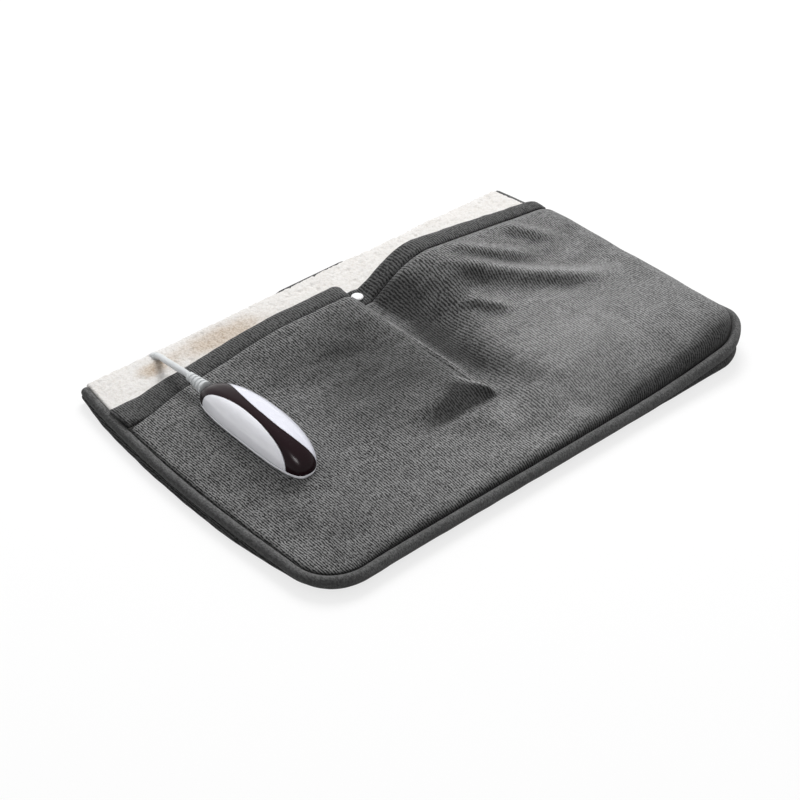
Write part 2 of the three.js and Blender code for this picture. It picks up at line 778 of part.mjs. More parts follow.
// Upright prism on one side of a boundary line drawn from lead end to nose.
// The line's points are millimetres across and shares of the half length along.
function prism(line, shift, outer) {
  const points = line.map(([across, along]) => new THREE.Vector2(across + shift, along * caseEnd));
  const shape = new THREE.Shape();
  shape.moveTo(outer, points[0].y);
  shape.lineTo(points[0].x, points[0].y);
  shape.splineThru(points.slice(1));
  shape.lineTo(outer, points[points.length - 1].y);
  const depth = rimPlane + domeHeight + overcut;
  return new THREE.ExtrudeGeometry(shape, { depth, bevelEnabled: false, curveSegments: 3 });
}

const keyLine = [
  [-15.5, 0.93], [-12.5, 0.84], [-9.2, 0.69], [-6.4, 0.373], [-5.4, 0.119],
  [-6.2, -0.179], [-8, -0.418], [-10.2, -0.642], [-13, -0.806], [-17, -0.955],
];
const coverLine = [
  [16.4, 0.97], [12.3, 0.851], [9.2, 0.672], [5.1, 0.418], [2.5, 0.134],
  [1.5, -0.149], [1.7, -0.418], [4.3, -0.687], [8, -0.866], [12.4, -1],
];

const boardTop = boardHeight + boardThickness;
const onBoardBottom = boardTop + fitGap;
const switchTop = onBoardBottom + switchSize.z;
const plungerBottom = switchTop + fitGap + keyTravel;
const plungerTop = plungerBottom + plungerHeight;
const keyRise = rimPlane + keyTravel + keyMargin;
const screwPlaces = [
  { name: noseScrew.name, x: noseScrew.x, y: noseScrew.fromEnd - caseEnd },
  { name: leadScrew.name, x: leadScrew.x, y: caseEnd - leadScrew.fromEnd },
];
const bossClearance = bossDiameter / 2 + 2 * fitGap;
const boardFront = screwPlaces[0].y + bossClearance;
const boardBack = screwPlaces[1].y - bossClearance;
const neckIn = caseEnd - shellWall - reliefNeckInside;
const flangeIn = neckIn - reliefFlangeLength;

// Room for the strain relief's flange and neck in the case
function reliefRoom() {
  const flange = reliefFlangeDiameter / 2 + fitGap;
  const neck = reliefNeckDiameter / 2 + fitGap;
  const profile = [
    [0, flangeIn - fitGap], [flange, flangeIn - fitGap], [flange, neckIn + fitGap],
    [neck, neckIn + fitGap], [neck, caseEnd + overcut], [0, caseEnd + overcut],
  ];
  const points = profile.map(([radius, along]) => new THREE.Vector2(radius, along));
  return new THREE.LatheGeometry(points, 16).translate(0, 0, reliefHeight);
}

function insideShell(bars) {
  const bound = dome(shellWall - fitGap, 0);
  return bars.map((item) => common(item, bound));
}

function makeBase() {
  const roll = quarter.map(({ sin, cos }) => controlRing(baseRoll * (1 - sin), baseRoll * (1 - cos)));
  const inner = [controlRing(shellWall, baseHeight), controlRing(shellWall + fitGap, shellWall)];
  const tray = skin([...roll, controlRing(0, baseHeight), ...inner], capFlat);
  const posts = [-postLeft, postRight].flatMap((x) => [boardFront + postFromEnd, boardBack - postFromEnd]
    .map((y) => bar(x, y, shellWall / 2, boardHeight - fitGap, boardPostDiameter)));
  const bosses = screwPlaces.map(({ x, y }) => bar(x, y, shellWall / 2, baseHeight, bossDiameter));
  const headDepth = screwHeadHeight + 2 * fitGap;
  const headDiameter = screwHeadDiameter + 2 * fitGap;
  const holeDiameter = screwDiameter + 2 * fitGap;
  const heads = screwPlaces.map(({ x, y }) => bar(x, y, -overcut, headDepth, headDiameter));
  const holes = screwPlaces.map(({ x, y }) => bar(x, y, 0, baseHeight + overcut, holeDiameter));
  return cut(join(tray, ...posts, ...bosses), ...heads, ...holes, reliefRoom());
}

function makeBand() {
  const shell = cut(upperShell, prism(keyLine, fitGap / 2, -caseEnd), prism(coverLine, -fitGap / 2, caseEnd));
  const pillars = screwPlaces.map(({ x, y }) =>
    bar(x, y, rimPlane + fitGap, rimPlane + domeHeight, bossDiameter));
  const holeTop = screwHeadHeight + screwLength + 3 * fitGap;
  const holes = screwPlaces.map(({ x, y }) =>
    bar(x, y, rimPlane - overcut, holeTop, screwDiameter + 2 * fitGap));
  return cut(join(shell, ...insideShell(pillars)), ...holes, reliefRoom());
}

function makeKey() {
  const plate = common(upperShell, prism(keyLine, -fitGap / 2, -caseEnd));
  const stemTop = rimPlane + domeHeight;
  const stem = bar(switchPlace.x, switchPlace.y, plungerTop + fitGap, stemTop, keyStemDiameter);
  const below = block([-caseEnd, -caseEnd, 0], [caseEnd, caseEnd, keyRise]);
  return cut(join(plate, ...insideShell([stem])), below);
}

addPart('control_base', makeBase(), whiteShell(), control);
addPart('control_band', makeBand(), bandShell(), control);
addPart('side_cover', common(upperShell, prism(coverLine, fitGap / 2, caseEnd)), whiteShell(), control);
addPart('heat_key', makeKey(), whiteShell(), control);

// Circuit board, cut to the inside of the case, and what is soldered to it
function makeBoard() {
  const slab = block([-controlLeft, boardFront, boardHeight], [controlRight, boardBack, boardTop]);
  return common(slab, dome(shellWall + boardMargin, baseHeight));
}

const onBoard = ({ x, y }, size) => block(
  [x - size.x / 2, y - size.y / 2, onBoardBottom],
  [x + size.x / 2, y + size.y / 2, onBoardBottom + size.z],
);
const triacPlace = { x: 11, y: boardBack - 24 };
const capacitorPlace = { x: 9, y: boardFront + 33 };
const chipPlace = { x: -4, y: boardFront + 27 };
const lineFusePlace = { x: 3, y: boardBack - 12 };
const terminalPlace = { x: -4, y: boardBack - fitGap - terminalSize.y / 2 };
const plunger = bar(switchPlace.x, switchPlace.y, plungerBottom, plungerTop, plungerDiameter);

addPart('control_board', makeBoard(), finish(0x2f6b3f, 0.6), control);
addPart('key_switch', onBoard(switchPlace, switchSize), darkPlastic(), control);
addPart('switch_plunger', plunger, whiteShell(), control);
addPart('triac', onBoard(triacPlace, triacSize), darkPlastic(), control);
addPart('film_capacitor', onBoard(capacitorPlace, capacitorSize), finish(0xc9a63b, 0.5), control);
addPart('control_chip', onBoard(chipPlace, chipSize), darkPlastic(), control);
addPart('line_fuse', onBoard(lineFusePlace, lineFuseSize), finish(0xd9dcd6, 0.2), control);
addPart('terminal_block', onBoard(terminalPlace, terminalSize), finish(0x3c7a4c, 0.5), control);
[-1, 0, 1].forEach((step, i) => {
  const place = { x: 0, y: switchPlace.y + step * ledPitch };
  addPart(`indicator_led_${i + 1}`, onBoard(place, ledSize), finish(0xf2e6c8, 0.2), control);
});

// Case screws, driven from below
screwPlaces.forEach(({ name, x, y }) => {
  const headTop = fitGap + screwHeadHeight;
  const tip = headTop + screwLength;
  const profile = [
    [0, fitGap], [screwHeadDiameter / 2, fitGap], [screwHeadDiameter / 2, headTop],
    [screwDiameter / 2, headTop], [screwDiameter / 2, tip], [0, tip],
  ];
  addPart(`case_screw_${name}`, turned(profile, x, y, 12), steel(), control);
});

// Strain relief: a flange inside the case, a neck through its wall and a ribbed taper outside
const bootStart = caseEnd + fitGap;
const bootEnd = bootStart + reliefLength;

function makeRelief() {
  const flange = reliefFlangeDiameter / 2;
  const neck = reliefNeckDiameter / 2;
  const profile = [[0, flangeIn], [flange, flangeIn], [flange, neckIn], [neck, neckIn], [neck, bootStart]];
  const pitch = reliefLength / (reliefRibs + 1);
  for (let rib = 0; rib <= reliefRibs; rib += 1) {
    const share = rib / (reliefRibs + 1);
    const radius = THREE.MathUtils.lerp(reliefWideDiameter, reliefNarrowDiameter, share) / 2;
    const groove = radius - reliefRibDepth;
    const start = bootStart + rib * pitch;
    profile.push([radius, start], [radius - reliefRibTaper, start + pitch * 0.6]);
    if (rib < reliefRibs) profile.push([groove, start + pitch * 0.68], [groove, start + pitch * 0.92]);
  }
  profile.push([reliefNarrowDiameter / 2 - reliefTipTaper, bootEnd], [0, bootEnd]);
  const points = profile.map(([radius, along]) => new THREE.Vector2(radius, along));
  return new THREE.LatheGeometry(points, 16).translate(0, 0, reliefHeight);
}

addPart('strain_relief', makeRelief(), greyRubber(), control);

// Cores of the lead inside the case, from the strain relief to the terminals
const cores = [{ name: 'live', side: -1, color: 0x7a4a2a }, { name: 'neutral', side: 1, color: 0x2f5fa8 }];
cores.forEach(({ name, side, color }) => {
  const start = new THREE.Vector3(side * coreSpread, flangeIn - fitGap, reliefHeight);
  const end = new THREE.Vector3(
    terminalPlace.x + side * terminalSpread,
    terminalPlace.y + terminalSize.y / 2 + fitGap,
    onBoardBottom + terminalSize.z / 2,
  );
  const middle = start.clone().lerp(end, 0.5);
  addPart(`lead_core_${name}`, tube([start, middle, end], coreDiameter, 6), finish(color, 0.5), control);
});

// Lead from the strain relief over the hem and the fleece strip into the back seam, square to both ends
const leadStart = new THREE.Vector3(controlX, controlShift + bootEnd + fitGap, controlZ + reliefHeight);
const leadAway = leadStart.clone().add(new THREE.Vector3(0, leadDiameter, 0));
const leadInto = new THREE.Vector3(0, Math.cos(leadFall), -Math.sin(leadFall));
const leadEnd = new THREE.Vector3(
  glandX,
  glandFront + (glandFace / 2) * Math.sin(leadFall),
  glandTop - (glandFace / 2) * Math.cos(leadFall),
).addScaledVector(leadInto, -leadGap);
const leadLanding = leadEnd.clone().addScaledVector(leadInto, -leadDiameter);
const leadMiddle = [
  [-179.3, 101, 40.9], [-178.3, 111, 38.6], [-176.4, 120, 35.4], [-173.8, 130, 31.2], [-170.6, 140, 26.4],
];

function makeLead() {
  const middle = leadMiddle.map((place) => new THREE.Vector3(...place));
  const points = [leadStart, leadAway, ...middle, leadLanding, leadEnd];
  const section = new THREE.Shape();
  section.absarc(0, 0, leadDiameter / 2, 0, 2 * Math.PI);
  return new THREE.ExtrudeGeometry(section, {
    steps: 12, curveSegments: 5, bevelEnabled: false, extrudePath: new THREE.CatmullRomCurve3(points),
  });
}

addPart('control_lead', makeLead(), greyRubber());

export default model;
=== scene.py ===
import json
import math

import bmesh
import bpy
import numpy as np
from mathutils import Matrix, Quaternion, Vector


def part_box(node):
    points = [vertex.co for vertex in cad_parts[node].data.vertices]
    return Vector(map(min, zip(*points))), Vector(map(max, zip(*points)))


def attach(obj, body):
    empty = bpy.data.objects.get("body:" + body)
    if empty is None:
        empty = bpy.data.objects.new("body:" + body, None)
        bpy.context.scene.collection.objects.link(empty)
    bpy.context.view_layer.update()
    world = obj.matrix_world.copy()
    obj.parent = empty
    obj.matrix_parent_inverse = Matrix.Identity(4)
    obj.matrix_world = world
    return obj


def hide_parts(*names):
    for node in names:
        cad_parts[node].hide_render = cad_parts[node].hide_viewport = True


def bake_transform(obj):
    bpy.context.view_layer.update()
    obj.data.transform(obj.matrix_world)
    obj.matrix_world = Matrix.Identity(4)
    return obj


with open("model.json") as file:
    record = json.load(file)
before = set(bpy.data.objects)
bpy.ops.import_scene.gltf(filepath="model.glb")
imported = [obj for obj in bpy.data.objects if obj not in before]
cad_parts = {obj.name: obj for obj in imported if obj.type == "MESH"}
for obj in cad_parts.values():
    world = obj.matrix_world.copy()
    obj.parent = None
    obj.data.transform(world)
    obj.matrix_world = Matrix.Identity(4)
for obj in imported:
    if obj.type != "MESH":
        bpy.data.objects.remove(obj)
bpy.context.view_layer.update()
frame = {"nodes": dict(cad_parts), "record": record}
nodes = frame["nodes"]
mm = 0.001  # piece sizes below are millimetres in the part's own frame, meshes are metres
tau = 2 * math.pi
print("frame loaded,", len(nodes), "nodes")


# Small helpers for numbers and noise

def smooth(low, high, value):
    share = np.clip((value - low) / (high - low), 0, 1)
    return share * share * (3 - 2 * share)


def ridge(distance, width):
    return np.exp(-(distance / width) ** 2)


def quarter(share):
    # height of a quarter circle above its start
    return np.sqrt(1 - (1 - np.clip(share, 0, 1)) ** 2)


def lerp(first, second, share):
    return first + (second - first) * share


stir = {  # large odd numbers that scatter the lattice
    "column": 374761393,
    "row": 668265263,
    "seed": 974634629,
    "again": 1274126177,
    "keep": 0xFFFFFFFF,
    "steps": 0xFFFF,
}


def lattice(column, row, seed):
    # a fixed random number from 0 to 1 for each lattice point
    mixed = (column * stir["column"] + row * stir["row"] + seed * stir["seed"]) & stir["keep"]
    mixed = ((mixed ^ (mixed >> 13)) * stir["again"]) & stir["keep"]
    return ((mixed ^ (mixed >> 16)) & stir["steps"]) / stir["steps"]


def cells(x, y, size):
    return [np.floor(place / size).astype(np.int64) for place in (x, y)]


def waves(x, y, size, seed):
    # smooth noise from -1 to 1 with bumps about as wide as size
    column, row = cells(x, y, size)
    across = smooth(0, 1, x / size - column)
    along = smooth(0, 1, y / size - row)
    near = lerp(lattice(column, row, seed), lattice(column + 1, row, seed), across)
    far = lerp(lattice(column, row + 1, seed), lattice(column + 1, row + 1, seed), across)
    return lerp(near, far, along) * 2 - 1


def tufts(x, y, size, seed):
    # round heads from 0 to 1, one in each cell of a jittered grid
    column, row = cells(x, y, size)
    jitter = 0.8
    headArea = 0.62  # squared reach of a head, in cells
    nearest = np.full(np.shape(x), 4.0)
    for stepX in (-1, 0, 1):
        for stepY in (-1, 0, 1):
            cell = column + stepX, row + stepY
            headX = cell[0] + 0.5 + jitter * (lattice(*cell, seed) - 0.5)
            headY = cell[1] + 0.5 + jitter * (lattice(*cell, seed + 7) - 0.5)
            nearest = np.minimum(nearest, (x / size - headX) ** 2 + (y / size - headY) ** 2)
    return np.sqrt(np.clip(1 - nearest / headArea, 0, 1))


def unit(vectors):
    return vectors / np.linalg.norm(vectors, axis=-1, keepdims=True)


# Mesh building

def shadeSmooth(mesh):
    mesh.polygons.foreach_set("use_smooth", [True] * len(mesh.polygons))


def addPiece(name, points, faces, material):
    mesh = bpy.data.meshes.new(name)
    mesh.from_pydata((np.asarray(points).reshape(-1, 3) * mm).tolist(), [], faces)
    mesh.materials.append(material)
    build = bmesh.new()
    build.from_mesh(mesh)
    bmesh.ops.recalc_face_normals(build, faces=build.faces)
    build.to_mesh(mesh)
    build.free()
    shadeSmooth(mesh)
    piece = bpy.data.objects.new(name, mesh)
    bpy.context.scene.collection.objects.link(piece)
    return piece


def gridFaces(rows, columns, start=0, wrap=False):
    faces = []
    for row in range(rows - 1):
        for column in range(columns if wrap else columns - 1):
            first = start + row * columns + column
            second = start + row * columns + (column + 1) % columns
            faces.append((first, second, second + columns, first + columns))
    return faces


def makeShell(name, upper, under, material):
    # two grids of the same size joined round their borders, a closed cloth layer
    rows, columns = upper.shape[:2]
    count = rows * columns
    faces = gridFaces(rows, columns) + gridFaces(rows, columns, count)
    border = list(range(columns))
    border += [row * columns + columns - 1 for row in range(1, rows)]
    border += [(rows - 1) * columns + column for column in range(columns - 2, -1, -1)]
    border += [row * columns for row in range(rows - 2, 0, -1)]
    for first, second in zip(border, border[1:] + border[:1]):
        faces.append((first, second, second + count, first + count))
    return addPiece(name, np.concatenate([upper.reshape(-1, 3), under.reshape(-1, 3)]), faces, material)


def makeTube(name, rings, material):
    # closed rings joined one after the other, with both ends capped
    rows, columns = rings.shape[:2]
    faces = gridFaces(rows, columns, 0, True)
    faces.append(tuple(range(columns)))
    faces.append(tuple((rows - 1) * columns + column for column in range(columns)))
    return addPiece(name, rings, faces, material)


def gridNormals(grid):
    along = np.gradient(grid, axis=0)
    across = np.gradient(grid, axis=1)
    normals = np.cross(across, along)
    return normals / np.maximum(np.linalg.norm(normals, axis=2, keepdims=True), 1e-9)


def sweepRings(path, sections):
    # sections hold (sideways, upwards) offsets for each point of the path
    tangents = unit(np.gradient(path, axis=0))
    sideways = unit(np.cross(tangents, (0, 0, 1)))
    upwards = np.cross(sideways, tangents)
    return path[:, None] + sections[..., :1] * sideways[:, None] + sections[..., 1:] * upwards[:, None]


def fullCircle(turn, fullness):
    # cosine and sine of a round outline at fullness 2, of a squarer one above it
    return [np.sign(wave) * np.abs(wave) ** (2 / fullness) for wave in (np.cos(turn), np.sin(turn))]


def roundSection(sides, halfWide, halfHigh, fullness=2.0):
    wide, high = fullCircle(np.arange(sides) / sides * tau, fullness)
    return np.stack([halfWide * wide, halfHigh * high], axis=1)


def smoothPath(points, steps):
    # a curve through the points, with the same number of steps between each two
    points = np.asarray(points, float)
    padded = np.concatenate([[2 * points[0] - points[1]], points, [2 * points[-1] - points[-2]]])
    path = []
    for place in range(len(points) - 1):
        before, first, second, after = padded[place:place + 4]
        for step in range(steps):
            share = step / steps
            path.append(0.5 * (2 * first + (second - before) * share
                               + (2 * before - 5 * first + 4 * second - after) * share ** 2
                               + (3 * first - before - 3 * second + after) * share ** 3))
    return np.array(path + [points[-1]])


def latheRings(profile, sides):
    # (radius, height) points turned about the local Z axis
    circle = roundSection(sides, 1, 1)
    rings = [np.concatenate([circle * max(radius, 0.001), np.full((sides, 1), height)], axis=1)
             for radius, height in profile]
    return np.array(rings)


def applyModifiers(piece):
    graph = bpy.context.evaluated_depsgraph_get()
    finished = bpy.data.meshes.new_from_object(piece.evaluated_get(graph))
    piece.modifiers.clear()
    piece.data = finished


def roundEdges(piece, width, segments, angle):
    edge = piece.modifiers.new("Edge", "BEVEL")
    edge.width = width * mm
    edge.segments = segments
    edge.limit_method = "ANGLE"
    edge.angle_limit = math.radians(angle)
    applyModifiers(piece)
    shadeSmooth(piece.data)


def dress(piece, body, slot, *replaced):
    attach(piece, body)
    if replaced:
        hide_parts(*replaced)


# Shader maths as Python expressions

class Wire:
    def __init__(self, finish, socket):
        self.finish = finish
        self.socket = socket

    def maths(self, operation, *values):
        sockets = dict(enumerate((self,) + values))
        return self.finish.add("ShaderNodeMath", {"operation": operation}, sockets)

    def reflected(self, operation, value):
        return self.finish.add("ShaderNodeMath", {"operation": operation}, {0: value, 1: self})

    def __add__(self, value):
        return self.maths("ADD", value)

    def __sub__(self, value):
        return self.maths("SUBTRACT", value)

    def __mul__(self, value):
        return self.maths("MULTIPLY", value)

    def __truediv__(self, value):
        return self.maths("DIVIDE", value)

    def __rsub__(self, value):
        return self.reflected("SUBTRACT", value)

    __radd__ = __add__
    __rmul__ = __mul__

    def between(self, low, high):
        settings = {"interpolation_type": "SMOOTHSTEP"}
        return self.finish.add("ShaderNodeMapRange", settings, {0: self, 1: low, 2: high, 3: 0.0, 4: 1.0})

    def bell(self):
        return (self * self * -1).maths("EXPONENT")


class Finish:
    def __init__(self, name, tree=None):
        if tree is None:
            self.material = bpy.data.materials.new(name)
            self.material.use_nodes = True
            tree = self.material.node_tree
        self.tree = tree
        self.tree.nodes.clear()
        self.place = self.add("ShaderNodeTexCoord", {}, {}, "Object")

    def add(self, kind, settings, sockets, out=0):
        node = self.tree.nodes.new(kind)
        for key, value in settings.items():
            setattr(node, key, value)
        for key, value in sockets.items():
            if isinstance(value, Wire):
                self.tree.links.new(value.socket, node.inputs[key])
            else:
                node.inputs[key].default_value = value
        return Wire(self, node.outputs[out]) if node.outputs else node

    def axes(self, vector=None):
        return [self.add("ShaderNodeSeparateXYZ", {}, {0: vector or self.place}, axis) for axis in "XYZ"]

    def direct(self):
        # 1 for rays that reach the backdrop straight, off a mirror or through glass
        seen, mirrored, passed = [self.add("ShaderNodeLightPath", {}, {}, ray)
                                  for ray in ("Is Camera Ray", "Is Glossy Ray", "Is Transmission Ray")]
        return seen.maths("MAXIMUM", mirrored).maths("MAXIMUM", passed)

    def noise(self, size, detail=2.0, stretch=(1, 1, 1), place=None):
        # values round 0.5 whose bumps are about size metres wide, drawn out by stretch
        scale = tuple(1 / (size * factor) for factor in stretch)
        vector = self.add("ShaderNodeVectorMath", {"operation": "MULTIPLY"},
                          {0: place or self.place, 1: scale})
        return self.add("ShaderNodeTexNoise", {}, {"Vector": vector, "Scale": 1.0, "Detail": detail})

    def mix(self, share, first, second):
        return self.add("ShaderNodeMix", {"data_type": "RGBA"}, {0: share, 6: first, 7: second}, 2)

    def bump(self, height, distance, strength=1.0):
        return self.add("ShaderNodeBump", {}, {"Height": height, "Distance": distance, "Strength": strength})

    def surface(self, sockets):
        shader = self.add("ShaderNodeBsdfPrincipled", {}, sockets)
        self.add("ShaderNodeOutputMaterial", {}, {"Surface": shader})
        return self.material


def grey(level):
    return (level, level, level, 1)


def darker(colour, share):
    return tuple(channel * share for channel in colour[:3]) + (1,)


def spot(x, y, middleX, middleY, reachX, reachY):
    # 1 in the middle of an oval patch, falling off softly round it
    offX = (x - middleX * mm) / (reachX * mm)
    offY = (y - middleY * mm) / (reachY * mm)
    return ((offX * offX + offY * offY) * -1).maths("EXPONENT")


plushLook = {
    "ribPitch": 2.15 * mm,
    "ribDrift": 0.8,  # how far the ribs wander, in pitches
    "driftSize": 7 * mm,
    "spread": (0.1, 0.3),  # the cloth is drawn out a little to the right and to the back
    "ends": 200 * mm,  # half the width over which the ribs turn round the swell
    "dash": 1.1 * mm,
    "fibre": 0.75 * mm,
    "shares": (0.44, 0.32, 0.24),  # of ribs, dashes and fibres in the pile
    "tips": (0.26, 0.74),
    "cloud": 60 * mm,
    "mark": 10 * mm,
    "uneven": 0.4,  # how much clouds and marks sway the shading at random
    "paintedLightWay": (0.45, 0.5, 0.74),  # way of the painted light: slopes that face it are painted lighter, slopes turned away darker
    "litFrom": 0.05,
    "litTo": 1.10,
    # shaded and lit copies of the pile colour, for painted shade and painted light
    "shadeDeep": grey(0.007),
    "shadeTip": grey(0.066),
    "lightDeep": grey(0.012),
    "lightTip": grey(0.345),
    # a paler copy of the pile colour for the paler area, which also carries the painted highlights
    "brushedDeep": grey(0.155),
    "brushedTip": grey(0.405),
    # switches the paler area, the painted shade and the painted highlights on
    "brushed": 1.0,
    "evenLeft": 1.0,  # how far the sideways part of the painted light is taken out on the left
    "evenFrom": -160 * mm,
    "evenTo": -10 * mm,
    "pile": 0.8 * mm,
}
paleArea = {  # where the pile is paler, and how much of the painted highlights turns it paler; places are millimetres
    "slant": 0.2,
    "cloud": 0.08,
    "fromLeft": (-30, 130),
    "toBack": (-20, 90),
    "backFade": 0.4,
    "wide": 0.55,
    "patch": (100, -70, 90, 60),
    "patchShare": 0.45,
    "highlightShare": 0.9,
}


# Crest lines of the folds that hang from the right arch, of the small one below them, of the block's right
# edge and of its
# foot: rise and width shape them, shade and crest set their painted shade and painted highlight
folds = [
    {"start": (86, 64), "end": (197, -24), "bow": -5, "rise": 6.5, "width": 11, "shade": 0.32, "crest": 0.26},
    {"start": (103, 80), "end": (160, 38), "bow": -3, "rise": 4.6, "width": 9, "shade": 0.34, "crest": 0.16},
    {"start": (170, 82), "end": (197, 46), "bow": -2, "rise": 3.6, "width": 8, "shade": 0.20, "crest": 0.10},
    {"start": (70, 22), "end": (95, -8), "bow": -1, "rise": 3.4, "width": 7, "shade": 0.15, "crest": 0.26},
    {"start": (2, 84), "end": (3, -78), "bow": 4, "rise": 2.6, "width": 3.4, "shade": 0.0, "crest": 0.42},
    {"start": (-10, -46), "end": (9, -77), "bow": -1, "rise": 0.8, "width": 4, "shade": 0.0, "crest": 0.48},
]
foldForm = {  # shares of a fold's length where it grows and fades, and of its width
    "grows": (-0.12, 0.2),
    "fades": (0.65, 1.15),
    "shadingGrows": (-0.12, 0.15),
    "shadingFades": (0.7, 1.15),
    "hollowOff": 1.4,
    "hollowWidth": 0.85,
    "crestWidth": 0.3,
    "crestLeast": 0.8,  # millimetres
}
dimples = [
    {"place": (40, -88), "depth": 3.2, "width": 15},
    {"place": (84, -138), "depth": 1.6, "width": 14},
]


def alongFold(x, y, fold, size):
    # share of the way along a fold and millimetres off its crest; size is that of a millimetre in x and y
    (startX, startY), (endX, endY) = fold["start"], fold["end"]
    runX, runY = endX - startX, endY - startY
    length = math.hypot(runX, runY)
    fromX, fromY = x - startX * size, y - startY * size
    along = (fromX * runX + fromY * runY) / (length ** 2 * size)
    off = (fromY * runX - fromX * runY) / (length * size)
    return along, off - along * (4 * fold["bow"]) * (1 - along)


def foldShading(x, y, fold):
    # painted highlight along the crest, painted shade along the hollow in front of it
    along, off = alongFold(x, y, fold, mm)
    width = fold["width"]
    hollow = (off + width * foldForm["hollowOff"]) / (width * foldForm["hollowWidth"])
    crest = off / (width * foldForm["crestWidth"] + foldForm["crestLeast"])
    ends = along.between(*foldForm["shadingGrows"]) * (1 - along.between(*foldForm["shadingFades"]))
    return (hollow.bell() * fold["shade"] - crest.bell() * fold["crest"]) * ends


paintedPatches = [  # middle, reach and depth of the patches of painted shade; patches of painted light have a depth below 0
    (39, -91, 11, 9, 0.30),
    (-2, -97, 20, 13, -0.22),
    (-45, 0, 85, 85, 0.46),
    (-80, -132, 140, 45, -0.26),
    (34, 72, 20, 16, 0.25),
]
paintedShade = {  # painted shade along the valley, the turn below it, the step and the front rim; places and widths are millimetres
    "valley": {"across": 24, "slant": 0.05, "width": 14, "fades": (-60, -25), "depth": 0.46},
    "turn": {"start": (16, -37), "way": (0.55, -0.835), "length": 52, "width": 13,
             "grows": (-0.1, 0.2), "fades": (0.8, 1.3), "depth": 0.22},
    "step": {"depth": 0.42, "sides": [  # a point on each side, the way inwards and where it fades
        {"place": (0, -84), "way": (0, 1), "fades": (-3, 5)},
        {"place": (-16, -50), "way": (-0.784, -0.622), "fades": (-2, 4)},
        {"place": (-16, -50), "way": (0.5, -0.866), "fades": (-6, 8)},
    ]},
    "rim": {"front": (-150, -128), "across": (20, 110), "depth": 0.4},
}


def fade(value, limits):
    low, high = limits
    return value.between(low * mm, high * mm)


def paintedShadeAndLight(x, y):
    # painted shade along the valley beside the left foot space, on the step in front of it and at the front
    # rim, in patches and along the folds; below 0 it is painted highlight
    valley, turn, step, rim = [paintedShade[place] for place in ("valley", "turn", "step", "rim")]
    fromValley = (x - y * valley["slant"] - valley["across"] * mm) / (valley["width"] * mm)
    shading = fromValley.bell() * fade(y, valley["fades"]) * valley["depth"]
    wayX, wayY = turn["way"]
    fromX, fromY = x - turn["start"][0] * mm, y - turn["start"][1] * mm
    along = (fromX * wayX + fromY * wayY) / (turn["length"] * mm)
    off = (fromX * wayY - fromY * wayX) / (turn["width"] * mm)
    ends = along.between(*turn["grows"]) * (1 - along.between(*turn["fades"]))
    shading = shading + off.bell() * ends * turn["depth"]
    inside = step["depth"]
    for side in step["sides"]:
        (placeX, placeY), (wayX, wayY) = side["place"], side["way"]
        inside = fade((x - placeX * mm) * wayX + (y - placeY * mm) * wayY, side["fades"]) * inside
    shading = shading + inside
    for *place, depth in paintedPatches:
        shading = spot(x, y, *place) * depth + shading
    shading = shading + (1 - fade(y, rim["front"])) * fade(x, rim["across"]) * rim["depth"]
    for fold in folds:
        shading = foldShading(x, y, fold) + shading
    return shading


def makePlush(name, look):
    finish = Finish(name)
    x, y, z = finish.axes()
    drift = finish.noise(look["driftSize"])
    spreadX, spreadY = look["spread"]
    ribs = x / (x * spreadX + 1) - z * (x.between(-look["ends"], look["ends"]) - 0.5)
    ribs = ((ribs / look["ribPitch"] + drift * look["ribDrift"]) * tau).maths("SINE") * 0.5 + 0.5
    drawn = finish.add("ShaderNodeVectorMath", {"operation": "DIVIDE"},
                       {0: finish.place, 1: x * spreadX + y * spreadY + 1})
    dashes = finish.noise(look["dash"], 2.0, (1, 2.4, 2), drawn).between(0.36, 0.64)
    fibres = finish.noise(look["fibre"], 1.0, (1, 2, 1), drawn).between(0.3, 0.7)
    ribShare, dashShare, fibreShare = look["shares"]
    pile = ribs * ribShare + dashes * dashShare + fibres * fibreShare
    tip = pile.between(*look["tips"])
    # painted light and shade: each slope is mixed from the shaded and lit copies by how far it faces the
    # light way
    lightWayX, lightWayY, lightWayZ = look["paintedLightWay"]
    normalX, normalY, normalZ = finish.axes(finish.add("ShaderNodeTexCoord", {}, {}, "Normal"))
    sideways = normalX * (1 - look["evenLeft"] * (1 - x.between(look["evenFrom"], look["evenTo"])))
    facing = sideways * lightWayX + normalY * lightWayY + normalZ * lightWayZ
    cloud = finish.noise(look["cloud"], 3.0) - 0.5
    marks = finish.noise(look["mark"], 2.0, (3.5, 1, 1)) - 0.5
    shading = (facing - look["litFrom"]) / (look["litTo"] - look["litFrom"])
    shading = shading + cloud * look["uneven"] + marks * look["uneven"]
    # paler to the right, less so at the back, and in a patch
    paleAndHighlit = fade(x - y * paleArea["slant"] + cloud * paleArea["cloud"], paleArea["fromLeft"])
    paleAndHighlit = paleAndHighlit * (1 - fade(y, paleArea["toBack"]) * paleArea["backFade"])
    paleAndHighlit = paleAndHighlit * paleArea["wide"] + spot(x, y, *paleArea["patch"]) * paleArea["patchShare"]
    # painted shade and painted highlights of the valley, step, rim, patches and folds
    paintedShading = paintedShadeAndLight(x, y) * look["brushed"]
    paleAndHighlit = paleAndHighlit * look["brushed"] + (paintedShading * -paleArea["highlightShare"]).maths("MAXIMUM", 0.0)
    shading = (shading - paintedShading).maths("MAXIMUM", 0.0).maths("MINIMUM", 1.0)
    shade, light, brushed = [finish.mix(tip, look[kind + "Deep"], look[kind + "Tip"])
                             for kind in ("shade", "light", "brushed")]
    return finish.surface({
        "Base Color": finish.mix(shading, shade, finish.mix(paleAndHighlit, light, brushed)),
        "Roughness": 0.82 + pile * 0.12,
        "Normal": finish.bump(pile, look["pile"], 0.6),
        "Specular IOR Level": 0.04,
        "Sheen Weight": 0.1,
        "Sheen Roughness": 0.6,
    })


